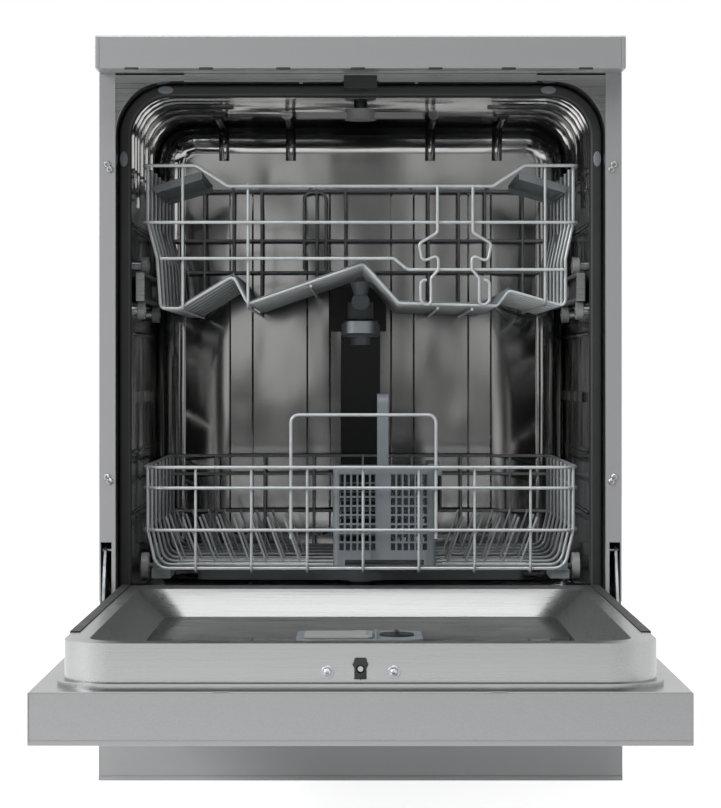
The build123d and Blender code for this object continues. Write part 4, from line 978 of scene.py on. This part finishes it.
class DISHWASHER_OT_trim(bpy.types.Operator):
    """Makes the screw heads, the gasket's lugs and the clips under the worktop's front edge"""

    bl_idname = "dishwasher.trim"
    bl_label = "Screws, lugs and clips"

    # Half sections as (radius, height): a domed head with a recess, and the washer under it
    head = (
        (0, -1.3), (0.8, -1.4), (1.1, -2.3), (2.5, -2.5), (3.4, -1.9), (3.9, -0.8), (3.9, -0.1), (0, -0.1),
    )
    washer = ((0, -0.9), (5.4, -0.9), (5.8, -0.5), (5.8, 0.0), (0, 0.0))
    washer_thickness = 0.8
    flange_sites = ((290, 704), (287, 698), (290, 346), (287, 341))
    liner_front = -645.0
    liner_sites = ((-29.8, 194.7), (30.3, 194.7))
    lug_sites = ((-226, 793), (-274.5, 713), (218, 793), (274.5, 713))
    lug_depth = 40.3
    lug_long, lug_short, lug_thick = 9.0, 4.5, 1.1
    lug_corner = 250
    stub_front = 1.0
    clip_sites = (-258, -174, -87, -3, 84.5, 167, 254)
    clip_low, clip_high = (-8, -50.3, 806.9), (8, -45, 809.2)
    clip_bevel = 0.5
    segments = 28

    def execute(self, context):
        screws = copied("cabinet_fasteners", "flange_screws", self.cabinet_screws)
        place(screws, "cabinet", "zinc_steel", "cabinet_fasteners")
        liner_screws = bmesh.new()
        for x, z in self.liner_sites:
            front = self.liner_front
            add_turned(liner_screws, self.washer, (x, front, z), "Y", self.segments)
            add_turned(liner_screws, self.head, (x, front - self.washer_thickness, z), "Y", self.segments)
        place(from_bmesh("liner_screws", liner_screws), "door", "zinc_steel")
        place(from_bmesh("gasket_lugs", self.lugs()), "cabinet", "grey_plastic")
        clips = bmesh.new()
        for x in self.clip_sites:
            low, high = Vector(self.clip_low), Vector(self.clip_high)
            add_box(clips, low + Vector((x, 0, 0)), high + Vector((x, 0, 0)), self.clip_bevel)
        place(from_bmesh("worktop_clips", clips), "cabinet", "dark_plastic")
        return {"FINISHED"}

    def lugs(self):
        """Flattened ovals on the gasket's face, on end at its sides and lying along its top."""
        shape = bmesh.new()
        for x, z in self.lug_sites:
            upright = abs(x) > self.lug_corner
            wide, high = (self.lug_short, self.lug_long) if upright else (self.lug_long, self.lug_short)
            size = Vector((wide, self.lug_thick, high)) * MM
            matrix = Matrix.Translation(mm(x, self.lug_depth, z)) @ Matrix.Diagonal((*size, 1.0))
            bmesh.ops.create_uvsphere(shape, u_segments=24, v_segments=12, radius=1.0, matrix=matrix)
        return shape

    def cabinet_screws(self, shape):
        """Takes the plain screw stubs off the copy and adds real heads; the roller pins stay."""
        stubs = [vert for vert in shape.verts if vert.co.y < self.stub_front * MM]
        bmesh.ops.delete(shape, geom=stubs, context="VERTS")
        for side in (-1, 1):
            for x, z in self.flange_sites:
                add_turned(shape, self.head, (side * x, 0, z), "Y", self.segments)
        bmesh.ops.recalc_face_normals(shape, faces=shape.faces)


class DISHWASHER_OT_tub_relief(bpy.types.Operator):
    """Makes the beads that the press leaves round the tub's ribs, corners and roof"""

    bl_idname = "dishwasher.tub_relief"
    bl_label = "Tub relief"

    back, side_wall, roof = 514.6, 269.4, 792.4
    rib_sites = (-159, -56, 56, 159)
    rib_half = 13.8
    rib_span = (250, 714)
    rib_bead = (5, 13)
    hoop_depths = (96, 134, 172, 228, 300, 380)
    hoop_bead = (7, 49)
    # Where a hoop's foot and end lie, how far the next ones step back, and after how many they repeat
    hoop_foot, hoop_end = (700, 18, 3), (170, 14, 2)
    roof_sites = (93, 182)
    roof_front, roof_foot, roof_back = 330, 748, 515.4
    roof_bead = (14, 34)
    bead_heights = (300, 372, 512, 640)
    bead_span = (80, 470)
    wall_bead, wall_lift = 6, 0.2

    def execute(self, context):
        low, high = self.rib_span
        loops = []
        for x in self.rib_sites:
            left, right = x - self.rib_half, x + self.rib_half
            corners = ((left, low), (right, low), (right, high), (left, high), (left, low))
            loops.append([(x, self.back, z) for x, z in corners])
        parts = [self.bead(loops, *self.rib_bead)]
        for side in (-1, 1):
            parts += self.corner_hoops(side) + self.roof_ribs(side) + self.wall_beads(side)
        place(joined("tub_beads", parts), "cabinet", "bright_stainless")
        return {"FINISHED"}

    def bead(self, lines, diameter, bend=None, sides=8):
        """Half-sunk rods along lines, which read as beads pressed in the sheet; sizes in millimetres."""
        return wires("bead", lines, "bright_stainless", diameter * MM, bend and bend * MM, sides=sides)

    def corner_hoops(self, side):
        """Hoops round a roof corner, whose feet and ends are staggered along the depth."""
        hoops = []
        wall = side * self.side_wall
        for index, depth in enumerate(self.hoop_depths):
            foot, end = (
                first - step * (index % turn) for first, step, turn in (self.hoop_foot, self.hoop_end)
            )
            line = [(wall, depth, foot), (wall, depth, self.roof), (side * end, depth, self.roof)]
            hoops.append(self.bead([line], *self.hoop_bead))
        return hoops

    def roof_ribs(self, side):
        """Broad ribs along the roof that turn down the back wall."""
        made = []
        for x in self.roof_sites:
            line = [
                (side * x, self.roof_front, self.roof), (side * x, self.roof_back, self.roof),
                (side * x, self.roof_back, self.roof_foot),
            ]
            made.append(self.bead([line], *self.roof_bead, sides=12))
        return made

    def wall_beads(self, side):
        """Straight beads along a side wall."""
        made = []
        for z in self.bead_heights:
            line = [(side * (self.side_wall + self.wall_lift), depth, z) for depth in self.bead_span]
            made.append(self.bead([line], self.wall_bead))
        return made


class DISHWASHER_OT_wheels(bpy.types.Operator):
    """Makes the rims, webs and hubs of the racks' wheels and rollers"""

    bl_idname = "dishwasher.wheels"
    bl_label = "Wheels and rollers"

    nodes = (
        "lower_wheels_front", "lower_wheels_middle", "lower_wheels_rear", "rack_wheels_front",
        "rack_wheels_rear", "wall_rollers_front", "wall_rollers_top", "wall_rollers_rear",
    )
    bore = 3.1
    web_share = 0.16
    tread_chamfer = 0.7
    # Radii of the hub, the web's inner and outer edge and the rim, as shares of the wheel's
    ring_shares = (0.42, 0.46, 0.76, 0.82)
    segments = 36

    def execute(self, context):
        for node in self.nodes:
            low, high = span(node)
            radius = (high.z - low.z) / 2
            wide = self.width(node)
            centre_y, centre_z = (low.y + high.y) / 2, (low.z + high.z) / 2
            shape = bmesh.new()
            for x in (low.x, high.x - wide):
                centre = (x, centre_y, centre_z)
                add_turned(shape, self.profile(radius, wide), centre, "X", self.segments)
            stand_in(node, from_bmesh(node + "_turned", shape))
        return {"FINISHED"}

    def width(self, node):
        """The width of one wheel of a pair, from the frame's mesh."""
        right = [vert.co.x for vert in NODES[node].data.vertices if vert.co.x > 0]
        return (max(right) - min(right)) / MM

    def profile(self, radius, wide):
        """A wheel's half section: a hub and a rim of full width, with a web sunk between them."""
        web, chamfer = wide * self.web_share, self.tread_chamfer
        hub_out, web_in, web_out, rim_in = (radius * share for share in self.ring_shares)
        face = (
            (self.bore, 0), (hub_out, 0), (web_in, web), (web_out, web), (rim_in, 0),
            (radius - chamfer, 0), (radius, chamfer),
        )
        return face + tuple((r, wide - height) for r, height in reversed(face)) + (face[0],)


class DISHWASHER_OT_springs(bpy.types.Operator):
    """Makes the coiled door springs with their hooked ends"""

    bl_idname = "dishwasher.springs"
    bl_label = "Door springs"

    near_end, far_end = (287.5, 55, 236), (289.5, 300, 84)
    # The hooks' outer points, as (y, z) pairs from the front to the back
    near_hook = ((18.2, 261.4), (40, 247))
    far_hook = ((318, 73), (331.5, 63))
    coil_pitch, coil_radius, coil_wire = 2.1, 5.4, 1.9
    hook_wire = 2.4

    def execute(self, context):
        parts = []
        for side in (-1, 1):
            near, far = (Vector((side * x, y, z)) for x, y, z in (self.near_end, self.far_end))
            run = far - near
            coil = grown(
                "coil", "spring", bpy.data.meshes.new("seed"), "zinc_steel",
                Turns=run.length / self.coil_pitch, Radius=self.coil_radius * MM,
                Length=run.length * MM, Diameter=self.coil_wire * MM,
            )
            coil.transform(Matrix.Translation(near * MM) @ run.to_track_quat("Z", "Y").to_matrix().to_4x4())
            parts.append(coil)
            hooks = [
                [(near.x, y, z) for y, z in self.near_hook] + [tuple(near)],
                [tuple(far)] + [(far.x, y, z) for y, z in self.far_hook],
            ]
            parts.append(wires("hooks", hooks, "zinc_steel", self.hook_wire * MM))
        springs = place(joined("spring_coils", parts), "cabinet", "zinc_steel", "door_springs")
        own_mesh(springs)
        return {"FINISHED"}


class DISHWASHER_OT_shelves(bpy.types.Operator):
    """Makes the cup shelves with the turned-down band along their front edge"""

    bl_idname = "dishwasher.shelves"
    bl_label = "Cup shelves"

    outer, inner = (240.5, 684.0), (185.5, 700.3)
    band_height = 8.6
    band_depths = ((71.0, 73.4), (298.0, 300.0))

    def execute(self, context):
        for side, node in ((-1, "cup_shelf_left"), (1, "cup_shelf_right")):

            def add_bands(shape, side=side):
                self.bands(shape, side)

            stand_in(node, copied(node, node + "_panel", add_bands))
        return {"FINISHED"}

    def bands(self, shape, side):
        """Adds the bands that hang from the shelf's front and rear edges."""
        upper = [self.outer, self.inner]
        lower = [(x, z - self.band_height) for x, z in reversed(upper)]
        outline = [(side * x, z) for x, z in upper + lower]
        for front, back in self.band_depths:
            add_prism(shape, outline if side > 0 else outline[::-1], front, back)
        bmesh.ops.recalc_face_normals(shape, faces=shape.faces)


class DISHWASHER_OT_stage(bpy.types.Operator):
    """Makes the floor, the white studio, its lamps and the camera at the photograph's angle"""

    bl_idname = "dishwasher.stage"
    bl_label = "Stage"

    floor_size, floor_drop, floor_lift = 14.0, 0.0005, 0.8
    screen_depth, screen_strength = -4.02, 0.012
    panel_depth, panel_strength = -4.0, 0.8
    # Left, right, lowest and highest edge of the screen and of its panels, in millimetres
    screen_area = (-7000, 7000, 0, 4600)
    panel_areas = (
        (-700, -165, 60, 250), (-700, -165, 430, 1010), (165, 700, 60, 250), (165, 700, 430, 1010),
        (-650, 650, 1080, 1175), (-2300, -1500, 200, 2300), (1700, 2000, 500, 2300),
    )
    # The photograph's long side, focal length and eye level, in its own pixels
    long_side = 808.0
    focal = 2684.0
    horizon = 372.0
    camera_place = (0, -3072, 466)

    def execute(self, context):
        self.studio()
        self.floor()
        self.cards()
        self.lamps()
        self.camera(context.scene)
        context.scene.view_settings.view_transform = "Standard"
        return {"FINISHED"}

    def studio(self):
        """White to the camera, to gloss and to glass, and a plain level of light to everything else."""
        world = bpy.data.worlds.new("studio")
        bpy.context.scene.world = world
        world.use_nodes = True
        tree = world.node_tree
        seen = self.seen_white(tree)
        level = bpy.context.scene.dishwasher_studio.ambient
        strength = add_node(tree, "ShaderNodeMath", {"operation": "MAXIMUM"}, {0: seen, 1: level})
        background = tree.nodes["Background"]
        background.inputs["Color"].default_value = (1.0, 1.0, 1.0, 1.0)
        tree.links.new(strength.outputs["Value"], background.inputs["Strength"])

    def seen_white(self, tree):
        """One for a ray from the camera, a gloss or a glass, else nothing."""
        path = add_node(tree, "ShaderNodeLightPath")
        total = path.outputs["Is Camera Ray"]
        for name in ("Is Glossy Ray", "Is Transmission Ray"):
            step = add_node(
                tree, "ShaderNodeMath", {"operation": "MAXIMUM"}, {0: total, 1: path.outputs[name]}
            )
            total = step.outputs["Value"]
        return total

    def floor(self):
        """A pale floor, lifted to white where it is seen, that keeps the shadow beneath the machine."""
        bpy.ops.mesh.primitive_plane_add(size=self.floor_size, location=(0, 0, -self.floor_drop))
        floor = bpy.context.object
        floor.name = "floor"
        material, tree, shader = new_surface("white studio floor", (0.8, 0.8, 0.8), 0.0, 0.9)
        lift = add_node(
            tree, "ShaderNodeMath", {"operation": "MULTIPLY"}, {0: self.seen_white(tree), 1: self.floor_lift}
        )
        white = add_node(
            tree, "ShaderNodeEmission", inputs={"Color": (1, 1, 1, 1), "Strength": lift.outputs["Value"]}
        )
        both = add_node(
            tree, "ShaderNodeAddShader", inputs={0: shader.outputs["BSDF"], 1: white.outputs["Emission"]}
        )
        tree.links.new(both.outputs["Shader"], tree.nodes["Material Output"].inputs["Surface"])
        floor.data.materials.append(material)

    def cards(self):
        """A dark screen behind the camera with white panels on it, which only glossy surfaces mirror."""
        self.card("dark_screen", self.screen_depth, [self.screen_area], self.screen_strength)
        self.card("white_panels", self.panel_depth, self.panel_areas, self.panel_strength)

    def card(self, name, depth, areas, strength):
        shape = bmesh.new()
        for left, right, low, high in areas:
            corners = ((left, low), (right, low), (right, high), (left, high))
            shape.faces.new([shape.verts.new((x * MM, depth, z * MM)) for x, z in corners])
        card = as_object(name, shape, 30.0)
        material = bpy.data.materials.new(name)
        material.use_nodes = True
        tree = material.node_tree
        glow = add_node(tree, "ShaderNodeEmission", inputs={"Color": (1, 1, 1, 1), "Strength": strength})
        tree.links.new(glow.outputs["Emission"], tree.nodes["Material Output"].inputs["Surface"])
        card.data.materials.append(material)
        card.visible_camera = False
        card.visible_diffuse = False
        card.visible_shadow = False

    def lamps(self):
        """Large soft boxes: a strong one at the left front, a weak one at the right, and one overhead."""
        levels = bpy.context.scene.dishwasher_studio
        # Name, place, where it points, size in metres and power
        boxes = (
            ("key", (-2.8, -2.1, 2.0), (0.0, -0.2, 0.45), 1.4, levels.key),
            ("fill", (2.4, -2.4, 1.4), (0.0, 0.0, 0.5), 1.4, levels.fill),
            ("top", (0.0, -0.9, 2.6), (0.0, -0.2, 0.5), 1.6, levels.top),
        )
        for name, spot, target, size, power in boxes:
            data = bpy.data.lights.new(name, "AREA")
            data.size = size
            data.energy = power
            lamp = bpy.data.objects.new(name, data)
            lamp.location = spot
            lamp.rotation_euler = (Vector(target) - Vector(spot)).to_track_quat("-Z", "Y").to_euler()
            bpy.context.scene.collection.objects.link(lamp)

    def camera(self, scene):
        """A level camera straight ahead, 3.07 m from the cabinet's front and 466 mm up."""
        data = bpy.data.cameras.new("camera")
        data.lens = self.focal / self.long_side * data.sensor_width
        data.shift_y = (self.horizon - self.long_side / 2) / self.long_side
        camera = bpy.data.objects.new("camera", data)
        camera.location = mm(*self.camera_place)
        camera.rotation_euler = (math.radians(90), 0, 0)
        scene.collection.objects.link(camera)
        scene.camera = camera


class DISHWASHER_PT_panel(bpy.types.Panel):
    """Lists the pieces of the dishwasher"""

    bl_idname = "DISHWASHER_PT_panel"
    bl_label = "Dishwasher"
    bl_space_type = "VIEW_3D"
    bl_region_type = "UI"
    bl_category = "Dishwasher"

    def draw(self, context):
        for operator in OPERATORS:
            self.layout.operator(operator.bl_idname)


OPERATORS = (
    DISHWASHER_OT_stage,
    DISHWASHER_OT_finishes,
    DISHWASHER_OT_casing,
    DISHWASHER_OT_trim,
    DISHWASHER_OT_tub_relief,
    DISHWASHER_OT_upper_rack,
    DISHWASHER_OT_shelves,
    DISHWASHER_OT_lower_rack,
    DISHWASHER_OT_wheels,
    DISHWASHER_OT_springs,
)
GROUPS = {
    "dishwasher_wires": WireSizes,
    "dishwasher_studio": StudioLevels,
    "dishwasher_colours": FinishColours,
}
CLASSES = (*GROUPS.values(), *OPERATORS, DISHWASHER_PT_panel)


def register():
    for made in CLASSES:
        bpy.utils.register_class(made)
    for name, group in GROUPS.items():
        setattr(bpy.types.Scene, name, PointerProperty(type=group))


def unregister():
    for name in GROUPS:
        delattr(bpy.types.Scene, name)
    for made in reversed(CLASSES):
        bpy.utils.unregister_class(made)


def main():
    register()
    for operator in OPERATORS:
        family, action = operator.bl_idname.split(".")
        getattr(getattr(bpy.ops, family), action)()


if __name__ == "__main__":
    main()
